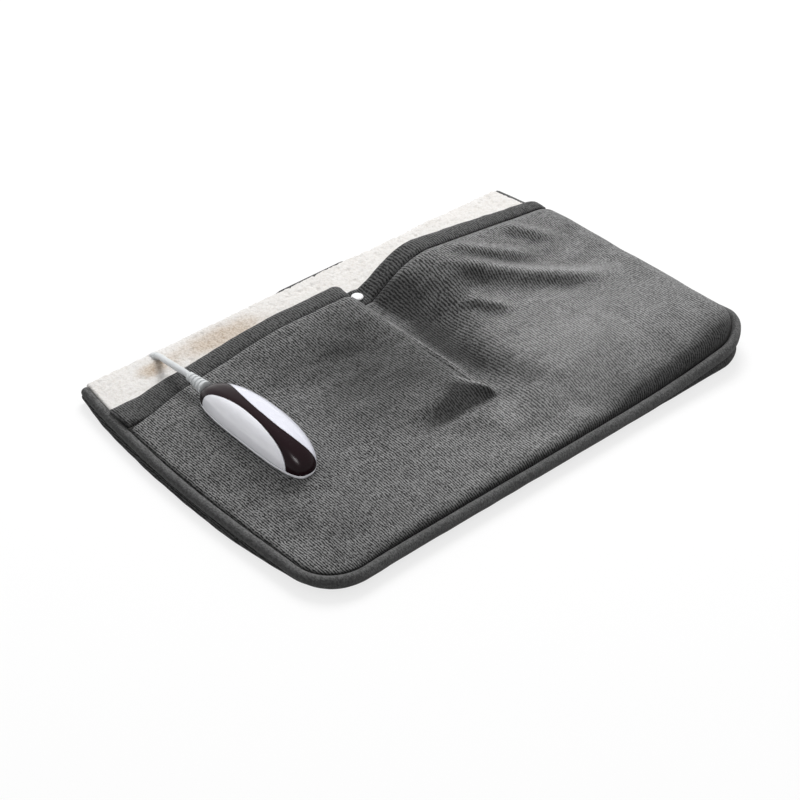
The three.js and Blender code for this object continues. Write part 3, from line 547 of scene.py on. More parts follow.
fleeceLook = {
    "hollow": (0.60, 0.56, 0.515, 1),
    "curl": (0.74, 0.725, 0.71, 1),
    "warmShadeHollow": (0.40, 0.315, 0.24, 1),
    "warmShadeCurl": (0.60, 0.53, 0.46, 1),
    "warmShade": [  # middle and reach of the patches of warmer, darker painted shade
        (-108, 142, 54, 19),
        (-178, 143, 16, 9),
    ],
    "curls": 520.0,  # to the metre
    "fibre": 0.7 * mm,
    "lump": 14 * mm,
    "relief": 1.0 * mm,
    "reliefShares": (0.5, 0.9, 0.3),  # of fibres, curls and lumps
    "toneShares": (0.4, 0.5, 0.3),
    "tones": (-0.25, 0.30),
    "leastTone": 0.3,
    "warmShadeToneShares": (0.6, 0.5, 0.0),
    "warmShadeTones": (-0.2, 0.22),
    "warmShadeEdge": 0.5,  # how much the lumps break up the patches
    "warmShadeShare": (0.2, 1.0),
}


def makeFleece(name, look):
    finish = Finish(name)
    x, y = finish.axes()[:2]
    curl = finish.add("ShaderNodeTexVoronoi", {"feature": "SMOOTH_F1"},
                      {"Vector": finish.place, "Scale": look["curls"], "Smoothness": 0.5})
    fibres = finish.noise(look["fibre"], 3.0)
    lumps = finish.noise(look["lump"], 2.0)

    def blended(fibreShare, curlShare, lumpShare):
        return fibres * fibreShare - curl * curlShare + lumps * lumpShare

    height = blended(*look["reliefShares"])
    tone = blended(*look["toneShares"]).between(*look["tones"])
    patches = 0.0
    for place in look["warmShade"]:
        patches = spot(x, y, *place) + patches
    # painted shade: warmer and darker in the patches, broken up by the lumps
    warmShadeShare = (patches + (lumps - 0.5) * look["warmShadeEdge"]).between(*look["warmShadeShare"])
    plain = finish.mix(tone * (1 - look["leastTone"]) + look["leastTone"], look["hollow"], look["curl"])
    warmShadeTone = blended(*look["warmShadeToneShares"]).between(*look["warmShadeTones"])
    warmShade = finish.mix(warmShadeTone, look["warmShadeHollow"], look["warmShadeCurl"])
    return finish.surface({
        "Base Color": finish.mix(warmShadeShare, plain, warmShade),
        "Roughness": 0.95,
        "Normal": finish.bump(height, look["relief"], 0.5),
        "Specular IOR Level": 0.15,
        "Sheen Weight": 0.2,
        "Sheen Roughness": 0.5,
    })


mouldedLook = {
    "flow": 14 * mm,
    "flowShade": 0.975,
    "skin": 0.35 * mm,
    "scuff": 5 * mm,
    "scuffShine": 0.06,
}


def makeMoulded(name, colour, shine, gloss=0.0, grain=0.02, glint=0.5):
    # moulded plastic or rubber: faint flow marks in the colour, a fine skin and uneven shine
    finish = Finish(name)
    flow = finish.noise(mouldedLook["flow"], 2.0).between(0.3, 0.7)
    skin = finish.noise(mouldedLook["skin"], 2.0)
    scuff = finish.noise(mouldedLook["scuff"], 4.0, (1, 3, 1)).between(0.45, 0.75)
    return finish.surface({
        "Base Color": finish.mix(flow, darker(colour, mouldedLook["flowShade"]), colour),
        "Roughness": shine + scuff * mouldedLook["scuffShine"],
        "Normal": finish.bump(skin, grain * mm, 0.5),
        "Coat Weight": gloss,
        "Coat Roughness": 0.08,
        "Specular IOR Level": glint,
    })


metalLook = {"brush": 0.4 * mm, "shade": 0.8, "uneven": 0.15, "relief": 0.02 * mm}


def makeMetal(name, colour, shine):
    finish = Finish(name)
    brushed = finish.noise(metalLook["brush"], 2.0, (1, 8, 1))
    return finish.surface({
        "Base Color": finish.mix(brushed, darker(colour, metalLook["shade"]), colour),
        "Roughness": shine + brushed * metalLook["uneven"],
        "Metallic": 1.0,
        "Normal": finish.bump(brushed, metalLook["relief"], 0.5),
    })


feltLook = {"fibre": 1.2 * mm, "shade": 0.75, "relief": 0.4 * mm}


def makeFelt(name, colour):
    finish = Finish(name)
    fibres = finish.noise(feltLook["fibre"], 4.0, (1, 3, 1))
    return finish.surface({
        "Base Color": finish.mix(fibres.between(0.3, 0.7), darker(colour, feltLook["shade"]), colour),
        "Roughness": 0.95,
        "Normal": finish.bump(fibres, feltLook["relief"], 0.6),
    })


plush = makePlush("plush", plushLook)
darkPlush = makePlush("darkPlush", plushLook | {
    "brushed": 0, "lightDeep": grey(0.022), "lightTip": grey(0.15)})
underPlush = makePlush("underPlush", plushLook | {
    "brushed": 0, "evenLeft": 0, "lightDeep": grey(0.02), "lightTip": grey(0.12)})
# the piping's painted light falls another way: lighter at the front, darker on the left
pipingCloth = makePlush("pipingCloth", plushLook | {
    "brushed": 0, "evenLeft": 0, "ribPitch": 0.9 * mm, "pile": 0.2 * mm, "paintedLightWay": (0.45, -0.15, 0.60),
    "shadeDeep": grey(0.026), "shadeTip": grey(0.065), "lightDeep": grey(0.06), "lightTip": grey(0.22)})
fleece = makeFleece("fleece", fleeceLook)
whitePlastic = makeMoulded("whitePlastic", (0.93, 0.935, 0.985, 1), 0.18, 0.7)
bandPlastic = makeMoulded("bandPlastic", (0.010, 0.002, 0.004, 1), 0.22, 0.0, 0.02, 0.13)
# the same white plastic with painted shade, darker than the other white parts where the key light falls full
# on it
shadedCoverPlastic = makeMoulded("shadedCoverPlastic", (0.72, 0.725, 0.80, 1), 0.26, 0.2)
snapPlastic = makeMoulded("snapPlastic", (0.86, 0.86, 0.86, 1), 0.3)
cordVinyl = makeMoulded("cordVinyl", (0.61, 0.63, 0.64, 1), 0.42)
thread = makeMoulded("thread", (0.035, 0.035, 0.037, 1), 0.8, 0.0, 0.1)
print("finishes made")


# Camera at the photograph's view

photoView = {
    "azimuth": -40.68,  # degrees, 0 looks along +Y
    "elevation": 37.77,
    "roll": -0.4,
    "distance": 1.6226,  # metres
    "target": (-0.0363, -0.0099, 0.0),
    "focalPixels": 1943.3,
    "imagePixels": 800,
    "sensor": 36,
}


def makeCamera():
    azimuth = math.radians(photoView["azimuth"])
    elevation = math.radians(photoView["elevation"])
    level = math.cos(elevation)
    outward = Vector((math.sin(azimuth) * level, -math.cos(azimuth) * level, math.sin(elevation)))
    lens = bpy.data.cameras.new("photoCamera")
    lens.sensor_width = photoView["sensor"]
    lens.lens = photoView["sensor"] * photoView["focalPixels"] / photoView["imagePixels"]
    camera = bpy.data.objects.new("photoCamera", lens)
    camera.location = Vector(photoView["target"]) + outward * photoView["distance"]
    camera.rotation_mode = "QUATERNION"
    roll = Quaternion((0, 0, 1), math.radians(photoView["roll"]))
    camera.rotation_quaternion = outward.to_track_quat("Z", "Y") @ roll
    bpy.context.scene.collection.objects.link(camera)
    bpy.context.scene.camera = camera


makeCamera()


# Lead from the hand control to the back seam

lead = {
    "diameter": 5.5,
    "sides": 24,
    "steps": 4,
    "route": [
        (-179.5, 86.6, 42.29), (-179.5, 92.1, 42.29), (-179.3, 101, 40.9), (-178.3, 111, 38.6),
        (-176.4, 120, 35.4), (-173.8, 130, 31.2), (-170.6, 140, 26.4),
        (-167, 151.7, 19.6), (-167, 156.5, 16.8),
    ],
}


def makeLead():
    path = smoothPath(lead["route"], lead["steps"])
    section = roundSection(lead["sides"], lead["diameter"] / 2, lead["diameter"] / 2)
    sections = np.repeat(section[None], len(path), axis=0)
    piece = makeTube("controlLead", sweepRings(path, sections), cordVinyl)
    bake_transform(piece)
    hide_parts("control_lead")


makeLead()


# Outline of the pad and the swell of its top

pad = {
    "width": 500,
    "depth": 328,
    "corner": 41,
    "sideBow": 12,
    "pocketFloor": 15.2,
    "flatTop": 23.5,
    "hemFront": 91,
    "hemBack": 111,
    "snapX": 10.6,
    "snapY": 101,
    "snapHold": (11, 80),  # distances from the snap for the cloth's weights: full nearer than the first, none beyond the second
    "tabHalf": 8.5,
}
backEdge = pad["depth"] / 2
frontEdge = -backEdge

swell = {
    "rightCrown": 18,
    "seamInset": 8.4,
    "seamHeight": 13.0,
    "lip": 7,
    "leftLip": 3,
    "lipWidth": 9,
    "cornerLip": 9.5,
    "cornerLipWidth": 13,
    "frontSlope": 70,
    "leftSlope": 55,
    "leftArch": 18.8,
    "leftArchReach": 178,
    "archFall": 16,
    "rightArch": 27.5,
    "rightArchEnd": 8,
    "rightArchPeak": 72,
    "leftArchDepth": 71,
    "rightArchDepth": 101,
    "archDepthChange": 80,
    "blockRise": 7.5,
    "blockAcross": 5,
    "blockSlant": 0.06,
    "blockEdge": 4.5,
    "blockFlare": 11,
    "blockFlareReach": 35,
    "stepFromFront": 82,
    "stepWidth": 24,
    "stepTip": 5,
    "stepFadeStart": 40,
    "stepFadeEnd": 110,
    "rightRise": 9,
    "rightRiseStart": -22,
    "rightRiseSlant": 0.24,
    "rightRiseWidth": 34,
    "rightSwell": -3.4,
    "rightSwellStart": 100,
    "rightSwellWidth": 110,
    "seatLift": 0.85,
    "stepWidens": (9, -18),
    "creaseFade": 14,
    "deepest": 4,
    "fuller": (55, 130),
    "lipToLeft": (-140, -225),
    "slopeToLeft": (-120, -200),
    "steepRight": (90, 205),
    "steepBack": (-150, -60),
    "steepFront": 0.3,
}


def halfWidth(y):
    return pad["width"] / 2 - pad["sideBow"] * (y / backEdge) ** 2


def insetHalfWidth(y, inset):
    corner = pad["corner"]
    deep = corner - np.minimum(y - frontEdge, corner)
    return halfWidth(y) - corner + np.sqrt(np.maximum((corner - inset) ** 2 - deep ** 2, 0))


def edgeDistance(x, y):
    corner = pad["corner"]
    side = halfWidth(y) - np.abs(x)
    front = y - frontEdge
    rounded = corner - np.hypot(corner - np.minimum(side, corner), corner - np.minimum(front, corner))
    return np.where((side < corner) & (front < corner), rounded, np.minimum(side, front))


def hemRaise(x):
    leftEnd = -pad["width"] / 2 + swell["seamInset"]
    rightPeak = pad["snapX"] + swell["rightArchPeak"]
    slide = np.clip((x - rightPeak) / (pad["width"] / 2 - rightPeak), 0, 1)
    tabLeft = pad["snapX"] - pad["tabHalf"]
    tabRight = pad["snapX"] + pad["tabHalf"]
    left = swell["leftArch"] * smooth(leftEnd, leftEnd + swell["leftArchReach"], x)
    left = left * np.sqrt(1 - np.clip((x - tabLeft) / swell["archFall"] + 1, 0, 1) ** 2)
    climb = np.sin(np.clip((x - tabRight) / (rightPeak - tabRight), 0, 1) * math.pi / 2)
    return left + climb * lerp(swell["rightArch"], swell["rightArchEnd"], slide)


def footBlock(x, y):
    # raised by the left foot space, with a sharp right edge and a front step that dies out to the left
    front = frontEdge + swell["stepFromFront"]
    flare = swell["blockFlare"] * (1 - smooth(front, front + swell["blockFlareReach"], y))
    edge = pad["snapX"] - swell["blockAcross"] - (pad["hemFront"] - y) * swell["blockSlant"] + flare
    inside = 1 - smooth(edge - swell["blockEdge"], edge + swell["blockEdge"], x)
    width = lerp(swell["stepTip"], swell["stepWidth"], smooth(*swell["stepWidens"], x))
    step = smooth(front, front + width, y)
    faded = smooth(-swell["stepFadeStart"], -swell["stepFadeEnd"], x)
    return swell["blockRise"] * inside * lerp(step, 1, faded)


def footSwell(x, y):
    start = pad["snapX"] + swell["rightRiseStart"] + (y - frontEdge) * swell["rightRiseSlant"]
    rise = swell["rightRise"] * smooth(start, start + swell["rightRiseWidth"], x)
    return rise + swell["rightSwell"] * smooth(0, swell["rightSwellWidth"], x - swell["rightSwellStart"])


def foldHeight(x, y, fold):
    along, off = alongFold(x, y, fold, 1)
    grown = fold["rise"] * ridge(off, fold["width"]) * smooth(*foldForm["grows"], along)
    return grown * (1 - smooth(*foldForm["fades"], along))


def creases(x, y):
    height = sum(foldHeight(x, y, fold) for fold in folds)
    for dimple in dimples:
        across, along = dimple["place"]
        height = height - dimple["depth"] * ridge(np.hypot(x - across, y - along), dimple["width"])
    return height


def coverHeight(x, y):
    start = pad["hemFront"] - lerp(swell["leftArchDepth"], swell["rightArchDepth"],
                                   smooth(0, swell["archDepthChange"], x))
    arch = smooth(start, pad["hemFront"], y)
    lifted = lerp(footBlock(x, y) + footSwell(x, y), hemRaise(x), arch)
    lifted = lifted + creases(x, y) * smooth(0, swell["creaseFade"], pad["hemFront"] - y)
    plateau = pad["flatTop"] + np.maximum(lifted, -swell["deepest"])
    border = np.maximum(edgeDistance(x, y) - swell["seamInset"], 0)
    fuller = smooth(*swell["fuller"], x)
    lip = lerp(swell["lip"], swell["leftLip"], smooth(*swell["lipToLeft"], x))
    lip = lerp(lip, swell["cornerLip"], fuller)
    lipWidth = lerp(swell["lipWidth"], swell["cornerLipWidth"], fuller)
    lip = swell["seamHeight"] + lip * quarter(border / lipWidth)
    slope = lerp(swell["frontSlope"], swell["leftSlope"], smooth(*swell["slopeToLeft"], x))
    steep = smooth(*swell["steepRight"], x) * lerp(swell["steepFront"], 1, smooth(*swell["steepBack"], y))
    share = lerp(smooth(0, slope, border), quarter(border / swell["rightCrown"]), steep)
    return lip + (plateau - lip) * share


def sheetGrid(columns, cornerRows, rows, back, inset):
    # rows follow the round front corners, columns share out the width
    radius = pad["corner"] - inset
    turn = np.linspace(0, math.pi / 2, cornerRows, endpoint=False)
    depths = np.concatenate([frontEdge + inset + radius * (1 - np.cos(turn)),
                             np.linspace(frontEdge + pad["corner"], back, rows)])
    y = np.repeat(depths[:, None], columns, axis=1)
    x = insetHalfWidth(depths, inset)[:, None] * np.linspace(-1, 1, columns)[None]
    return x, y


drapes = [  # soft shifts of the lying cloth: where, how wide and how far
    {"place": (-233, -154), "reach": 38, "move": (-2.6, -2.6, 0)},
    {"place": (238, -140), "reach": 85, "move": (-2.5, 1.5, 9)},
    {"place": (237, -146), "reach": 32, "move": (3, 0.5, 4)},
]


def drape(points):
    moved = np.array(points, float)
    for shift in drapes:
        across, along = shift["place"]
        share = ridge(np.hypot(moved[..., 0] - across, moved[..., 1] - along), shift["reach"])
        moved = moved + share[..., None] * np.array(shift["move"])
    return moved


def readPoints(mesh):
    places = np.zeros(len(mesh.vertices) * 3, np.float32)
    mesh.vertices.foreach_get("co", places)
    return places.reshape(-1, 3) / mm


def snapPull(piece):
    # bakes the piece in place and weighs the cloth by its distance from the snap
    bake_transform(piece)
    places = readPoints(piece.data)
    away = np.hypot(places[:, 0] - pad["snapX"], places[:, 1] - pad["snapY"])
    weights = 1 - smooth(*pad["snapHold"], away)


# Plush top of the pouch, settled as cloth

topCover = {
    "columns": 201,
    "cornerRows": 14,
    "rows": 103,
    "thickness": 3,
    "undulation": 0.6,
    "waveSize": 46,
    "rippleSize": 17,
    "waveFade": 30,
    "pucker": 0.8,
    "puckerSize": 21,
    "puckerReach": 26,
    "puckerFade": 8,
    "groove": 2.4,
    "grooveWidth": 3.2,
    "leftGroove": 0.3,  # share of the groove at the left end
    "grooveGrows": (-50, 20),
    "seatHalf": (13, 56),
    "seatFade": (2, 20),
    "seatSink": 0.2,
    "heldEdge": (2, 16),
    "heldHem": (2, 20),
    "heldLeast": 0.06,
    "largestMove": 1.6,
    "frames": 16,
    "cloth": {
        "quality": 5,
        "mass": 0.2,
        "tension_stiffness": 12,
        "compression_stiffness": 12,
        "shear_stiffness": 6,
        "bending_stiffness": 0.6,
        "air_damping": 4,
        "shrink_min": -0.002,
        "use_pressure": True,
        "uniform_pressure_force": 0.35,
        "pin_stiffness": 0.6,
    },
}
seatLow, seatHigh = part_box("control_base")
seatX, seatY = (seatLow.x + seatHigh.x) / 2 / mm, (seatLow.y + seatHigh.y) / 2 / mm
seatTop = seatLow.z / mm - topCover["seatSink"]


def coverPoints(columns, cornerRows, rows):
    x, y = sheetGrid(columns, cornerRows, rows, pad["hemFront"], swell["seamInset"])
    z = coverHeight(x, y)
    border = edgeDistance(x, y) - swell["seamInset"]
    inside = smooth(0, topCover["waveFade"], border)
    uneven = waves(x, y, topCover["waveSize"], 3) + 0.5 * waves(x, y, topCover["rippleSize"], 4)
    z = z + inside * topCover["undulation"] * uneven
    near = ridge(border, topCover["puckerReach"]) * smooth(0, topCover["puckerFade"], border)
    z = z + near * topCover["pucker"] * waves(x, y, topCover["puckerSize"], 5)
    groove = topCover["groove"] * lerp(topCover["leftGroove"], 1, smooth(*topCover["grooveGrows"], x))
    z = z - groove * ridge(y - pad["hemFront"], topCover["grooveWidth"])
    halfX, halfY = topCover["seatHalf"]
    awayX = np.maximum(np.abs(x - seatX) - halfX, 0)
    awayY = np.maximum(np.abs(y - seatY) - halfY, 0)
    away = np.sqrt(awayX ** 2 + awayY ** 2)
    z = lerp(z, seatTop, swell["seatLift"] * (1 - smooth(*topCover["seatFade"], away)))
    return np.stack([x, y, z], axis=2)


def settleCloth(points, held):
    # a short cloth run with a little spare cloth and air under it; held points stay
    rows, columns = points.shape[:2]
    piece = addPiece("coverTrial", points, gridFaces(rows, columns), plush)
    group = piece.vertex_groups.new(name="held")
    for place, weight in enumerate(held.ravel()):
        group.add([place], float(weight), "REPLACE")
    cloth = piece.modifiers.new("Cloth", "CLOTH")
    for setting, value in topCover["cloth"].items():
        setattr(cloth.settings, setting, value)
    cloth.settings.effector_weights.gravity = 0
    cloth.settings.vertex_group_mass = "held"
    cloth.collision_settings.use_collision = False
    for number in range(1, topCover["frames"] + 1):
        bpy.context.scene.frame_set(number)
    graph = bpy.context.evaluated_depsgraph_get()
    settled = readPoints(piece.evaluated_get(graph).data)
    bpy.context.scene.frame_set(1)
    bpy.data.objects.remove(piece)
    moves = settled.reshape(rows, columns, 3) - points
    size = np.linalg.norm(moves, axis=2, keepdims=True)
    return moves * np.minimum(1, topCover["largestMove"] / np.maximum(size, 1e-6))


def refine(moves, rows, columns):
    # spreads the moves of a coarse grid over a finer one
    placeRows = np.linspace(0, moves.shape[0] - 1, rows)
    placeColumns = np.linspace(0, moves.shape[1] - 1, columns)
    lowRows = np.minimum(placeRows.astype(int), moves.shape[0] - 2)
    lowColumns = np.minimum(placeColumns.astype(int), moves.shape[1] - 2)
    down = (placeRows - lowRows)[:, None, None]
    across = (placeColumns - lowColumns)[None, :, None]
    rowPairs = lerp(moves[lowRows], moves[lowRows + 1], down)
    return lerp(rowPairs[:, lowColumns], rowPairs[:, lowColumns + 1], across)


def makeTopCover():
    columns, cornerRows, rows = [topCover[count] for count in ("columns", "cornerRows", "rows")]
    points = coverPoints(columns, cornerRows, rows)
    coarse = coverPoints(columns // 2 + 1, cornerRows // 2, rows // 2 + 1)
    border = edgeDistance(coarse[..., 0], coarse[..., 1]) - swell["seamInset"]
    toHem = pad["hemFront"] - coarse[..., 1]
    held = 1 - np.minimum(smooth(*topCover["heldEdge"], border), smooth(*topCover["heldHem"], toHem))
    held = np.maximum(held, topCover["heldLeast"])
    moves = settleCloth(coarse, held)
    print(f"cover settled by up to {np.linalg.norm(moves, axis=2).max():.1f} mm")
    points = points + refine(moves, *points.shape[:2])
    under = points - gridNormals(points) * topCover["thickness"]
    piece = makeShell("topCover", drape(points), drape(under), plush)
    snapPull(piece)
    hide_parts("top_cover")


makeTopCover()
print("top cover made")


# Turned hem of the open edge, with its stitching

hem = {
    "stations": 221,
    "sides": 32,
    "thickness": 8.3,
    "endHeight": 5,
    "overlap": 1,
    "sink": 2,
    "widths": [  # how much wider the hem is and where that starts and is full
        (3, -40, -200), (5, -160, -225), (-3, 110, 225), (1.5, -10, 20), (-1.5, 70, 120),
    ],
    "tabLift": 4,
    "tabWidth": 13,
    "tabBack": 0.6,
    "fullness": 2.7,
    "pucker": 0.35,
    "puckerSize": 8,
    "stitchPitch": 3.4,
    "stitchLength": 2.5,
    "stitchRadius": 0.4,
    "stitchSides": 6,
    "stitchEnds": 6,  # from the seam to the first and the last stitch
    "stitchBack": 0.4,
    "stitchRise": 0.9,
    "stitchBow": 0.5,
    "stitchTaper": [0.5, 1, 1, 1, 0.5],
}


def hemLine(x, y):
    return np.stack([x, np.full_like(x, y), coverHeight(x, np.full_like(x, y))], axis=1)


def makeHem():
    middle = (pad["hemFront"] + pad["hemBack"]) / 2
    reach = halfWidth(middle) - swell["seamInset"] + hem["overlap"]
    x = np.linspace(-reach, reach, hem["stations"])
    path = hemLine(x, middle)
    path[:, 2] = np.maximum(path[:, 2], pad["pocketFloor"] + hem["endHeight"])
    half = np.minimum(hem["thickness"], path[:, 2] - pad["pocketFloor"] + hem["sink"]) / 2
    tangents = unit(np.gradient(path, axis=0))
    normals = np.stack([-tangents[:, 2], np.zeros(len(x)), tangents[:, 0]], axis=1)
    path = path - normals * half[:, None]
    depth = pad["hemBack"] - pad["hemFront"]
    section = roundSection(hem["sides"], depth / 2, 1, hem["fullness"])
    sections = np.repeat(section[None], len(x), axis=0)
    sections[..., 1] *= half[:, None]
    wider = sum(extra * smooth(start, full, x) for extra, start, full in hem["widths"])
    toBack = 0.5 - section[None, :, 0] / depth
    sections[..., 0] -= wider[:, None] * toBack
    lifted = hem["tabLift"] * ridge(x - pad["snapX"], hem["tabWidth"])
    sections[..., 1] += lifted[:, None] * smooth(hem["tabBack"], 1, toBack)
    across, along = np.broadcast_arrays(x[:, None], section[None, :, 0])
    puckers = waves(across, along, hem["puckerSize"], 11)
    sections[..., 1] += hem["pucker"] * puckers * np.sign(sections[..., 1])
    piece = makeTube("hem", sweepRings(path, sections), darkPlush)
    snapPull(piece)
    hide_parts("hem_left", "hem_right", "snap_tab")


def makeStitches():
    reach = halfWidth(pad["hemFront"]) - swell["seamInset"] - hem["stitchEnds"]
    count = int(2 * reach / hem["stitchPitch"])
    points = []
    faces = []
    sides = hem["stitchSides"]
    steps = len(hem["stitchTaper"])
    section = roundSection(sides, hem["stitchRadius"], hem["stitchRadius"])
    sections = section[None] * np.array(hem["stitchTaper"])[:, None, None]
    along = np.linspace(-0.5, 0.5, steps)
    sunk = topCover["groove"] - hem["stitchRise"] - hem["stitchBow"] * np.cos(along * math.pi)
    for number in range(count):
        middle = -reach + (number + 0.5) * hem["stitchPitch"]
        path = hemLine(middle + along * hem["stitchLength"], pad["hemFront"] + hem["stitchBack"])
        path[:, 2] -= sunk
        start = number * steps * sides
        points.append(sweepRings(path, sections))
        faces += gridFaces(steps, sides, start, True)
        for end in (start, start + (steps - 1) * sides):
            faces.append(tuple(range(end, end + sides)))
    piece = addPiece("hemStitches", np.array(points), faces, thread)
    snapPull(piece)


makeHem()
makeStitches()
print("hem made")


# Outline rings shared by the piping and the underside

def sideLine(inset, steps):
    # from the back left corner down the side, round the front and up to the back right corner
    corner = pad["corner"]
    down = np.linspace(backEdge, frontEdge + corner, steps)
    left = np.stack([-(halfWidth(down) - inset), down], axis=1)
    turn = np.linspace(0, math.pi / 2, steps // 3)[1:]
    y = frontEdge + corner - (corner - inset) * np.sin(turn)
    bend = np.stack([-(halfWidth(y) - corner + (corner - inset) * np.cos(turn)), y], axis=1)
    across = np.linspace(bend[-1, 0], -bend[-1, 0], int(steps * 1.5))[1:-1]
    front = np.stack([across, np.full(len(across), frontEdge + inset)], axis=1)
    half = np.concatenate([left, bend])
    return np.concatenate([half, front, half[::-1] * (-1, 1)])


piping = {
    "radius": 4.4,
    "height": 10.6,
    "frontDrop": 0.9,
    "frontTaller": 0.27,
    "frontSpan": (6, 40),
    "sides": 24,
    "steps": 120,
    "closed": 0.02,
    "pucker": 0.10,
    "puckerSize": 5,
    "puckerTwist": 1.5,
}


def makePiping():
    line = sideLine(piping["radius"], piping["steps"])
    path = np.concatenate([line, np.full((len(line), 1), piping["height"])], axis=1)
    front = 1 - smooth(*piping["frontSpan"], line[:, 1] - frontEdge)
    path[:, 2] -= piping["frontDrop"] * front
    section = roundSection(piping["sides"], piping["radius"], piping["radius"])
    travelled = np.concatenate([[0], np.cumsum(np.linalg.norm(np.diff(path, axis=0), axis=1))])
    fromEnd = np.minimum(travelled, travelled[-1] - travelled)
    closing = quarter(np.maximum(fromEnd / piping["radius"], piping["closed"]))
    around = np.arange(piping["sides"])[None] * np.ones((len(path), 1))
    twisted = travelled[:, None] + piping["puckerTwist"] * around
    wrinkle = 1 + piping["pucker"] / piping["radius"] * waves(twisted, around, piping["puckerSize"], 21)
    sections = section[None] * (closing[:, None] * wrinkle)[..., None]
    sections[..., 1] *= 1 + piping["frontTaller"] * front[:, None]
    piece = makeTube("edgePiping", drape(sweepRings(path, sections)), pipingCloth)
    dress(piece, "pad", "plush", "edge_piping")


makePiping()


underside = {
    "steps": 120,
    "profile": [  # height and how far in from the outline
        (0.0, 12.0), (0.0, 7.5), (0.5, 5.2), (1.6, 3.6), (3.2, 2.8), (4.8, 2.8), (6.2, 3.6),
        (7.2, 5.6), (7.6, 9.0),
    ],
    "faces": (0.5, 0.95),  # how square to a side the outline has to stand to count as that side
    "sideBulge": 5.0,
    "bulgeMiddle": 4,
    "bulgeHalf": 5,
    "bulgeGrows": (10, 120),
    "bulgeBack": 50,
    "bulgeLost": 0.6,
    "frontTuck": 0.8,
    "tuckGrows": (-215, -150),
    "wrinkle": 0.25,
    "wrinkleSize": 14,
    "innerInset": 24,
    "innerHeight": 6.5,
    "wallTop": 10.6,
    "wallProud": 0.6,
    "wallInset": (0, 6),
    "wallRises": (2, 8),
    "peepFrom": -44,
    "peepTo": 62,
    "peepFade": 20,
    "peepRise": 5.4,
    "draped": (3.5, 7.5),
}


def makeUnderside():
    half = sideLine(0, underside["steps"])
    across = np.linspace(half[-1, 0], half[0, 0], underside["steps"] * 2)[1:-1]
    back = np.stack([across, np.full(len(across), backEdge)], axis=1)
    outline = np.concatenate([half, back])
    x, y = outline.T
    ahead = np.roll(outline, -1, axis=0) - np.roll(outline, 1, axis=0)
    outward = unit(np.stack([ahead[:, 1], -ahead[:, 0]], axis=1))
    if np.sum(outward * outline) < 0:
        outward = -outward
    side, front, behind = [smooth(*underside["faces"], square)
                           for square in (np.abs(outward[:, 0]), -outward[:, 1], outward[:, 1])]
    bulge = underside["sideBulge"] * side * smooth(*underside["bulgeGrows"], y - frontEdge)
    bulge = bulge * (1 - underside["bulgeLost"] * smooth(backEdge - underside["bulgeBack"], backEdge, y))
    tuck = underside["frontTuck"] * front * smooth(*underside["tuckGrows"], x)
    tuck = tuck + underside["wrinkle"] * waves(x + y, y, underside["wrinkleSize"], 31)
    peep = smooth(underside["peepFrom"], underside["peepFrom"] + underside["peepFade"], x)
    peep = peep * (1 - smooth(underside["peepTo"] - underside["peepFade"], underside["peepTo"], x))
    top = underside["profile"][-1][0]
    rise = behind * (underside["wallTop"] - top + underside["peepRise"] * peep)
    rings = []
    for height, inset in underside["profile"]:
        belly = 1 - np.clip(abs(height - underside["bulgeMiddle"]) / underside["bulgeHalf"], 0, 1)
        inset = inset - bulge * belly + tuck
        inset = lerp(inset, -underside["wallProud"], behind * smooth(*underside["wallInset"], height))
        lift = height + rise * smooth(*underside["wallRises"], height)
        rings.append(np.concatenate([outline - outward * inset[:, None], lift[:, None]], axis=1))
    inner = outline - outward * underside["innerInset"]
    rings.append(np.concatenate([inner, np.full((len(inner), 1), underside["innerHeight"])], axis=1))
    rings = np.array(rings)
    rings = lerp(rings, drape(rings), smooth(*underside["draped"], rings[..., 2:]))
    piece = makeTube("bottomCover", rings, underPlush)
    dress(piece, "pad", "dark_plush", "bottom_cover")


makeUnderside()
print("piping and underside made")


# Fleece bed that shows behind the open edge, and the fleece under the top

bed = {
    "columns": 301,
    "inset": 24.0,
    "stripInset": 7.6,
    "top": 14.9,
    "bottom": 8.9,
    "back": 164.8,
    "backRound": 5,
    "backFall": 3.2,
    "backFluff": 0.35,  # share of the curl's height that is left at the very back
    "shownFrom": 20,
    "shownPitch": 3.5,
    "stripFrom": 70,
    "stripRows": 62,
    "stripWidens": (78, 100),
    "fluffy": (20, 90),
    "lift": 0.9,
    "sunk": 0.3,
    "under": 2,  # least room under the top cover
    "stray": 0.5,
    "straySize": 3,
    "warp": 1.2,
    "warpSize": 6,
    "curlHeight": 1.9,
    "curlSize": 4.2,
    "fineHeight": 0.7,
    "fineSize": 2.1,
    "curlMean": 0.4,
    "lumpHeight": 0.9,
    "lumpSize": 24,
}


def fleeceHeight(x, y):
    warpX = x + bed["warp"] * waves(x, y, bed["warpSize"], 41)
    warpY = y + bed["warp"] * waves(x, y, bed["warpSize"], 42)
    height = bed["curlHeight"] * (tufts(warpX, warpY, bed["curlSize"], 43) - bed["curlMean"])
    height = height + bed["fineHeight"] * (tufts(warpX, warpY, bed["fineSize"], 44) - bed["curlMean"])
    return height + bed["lumpHeight"] * waves(x, y, bed["lumpSize"], 45)


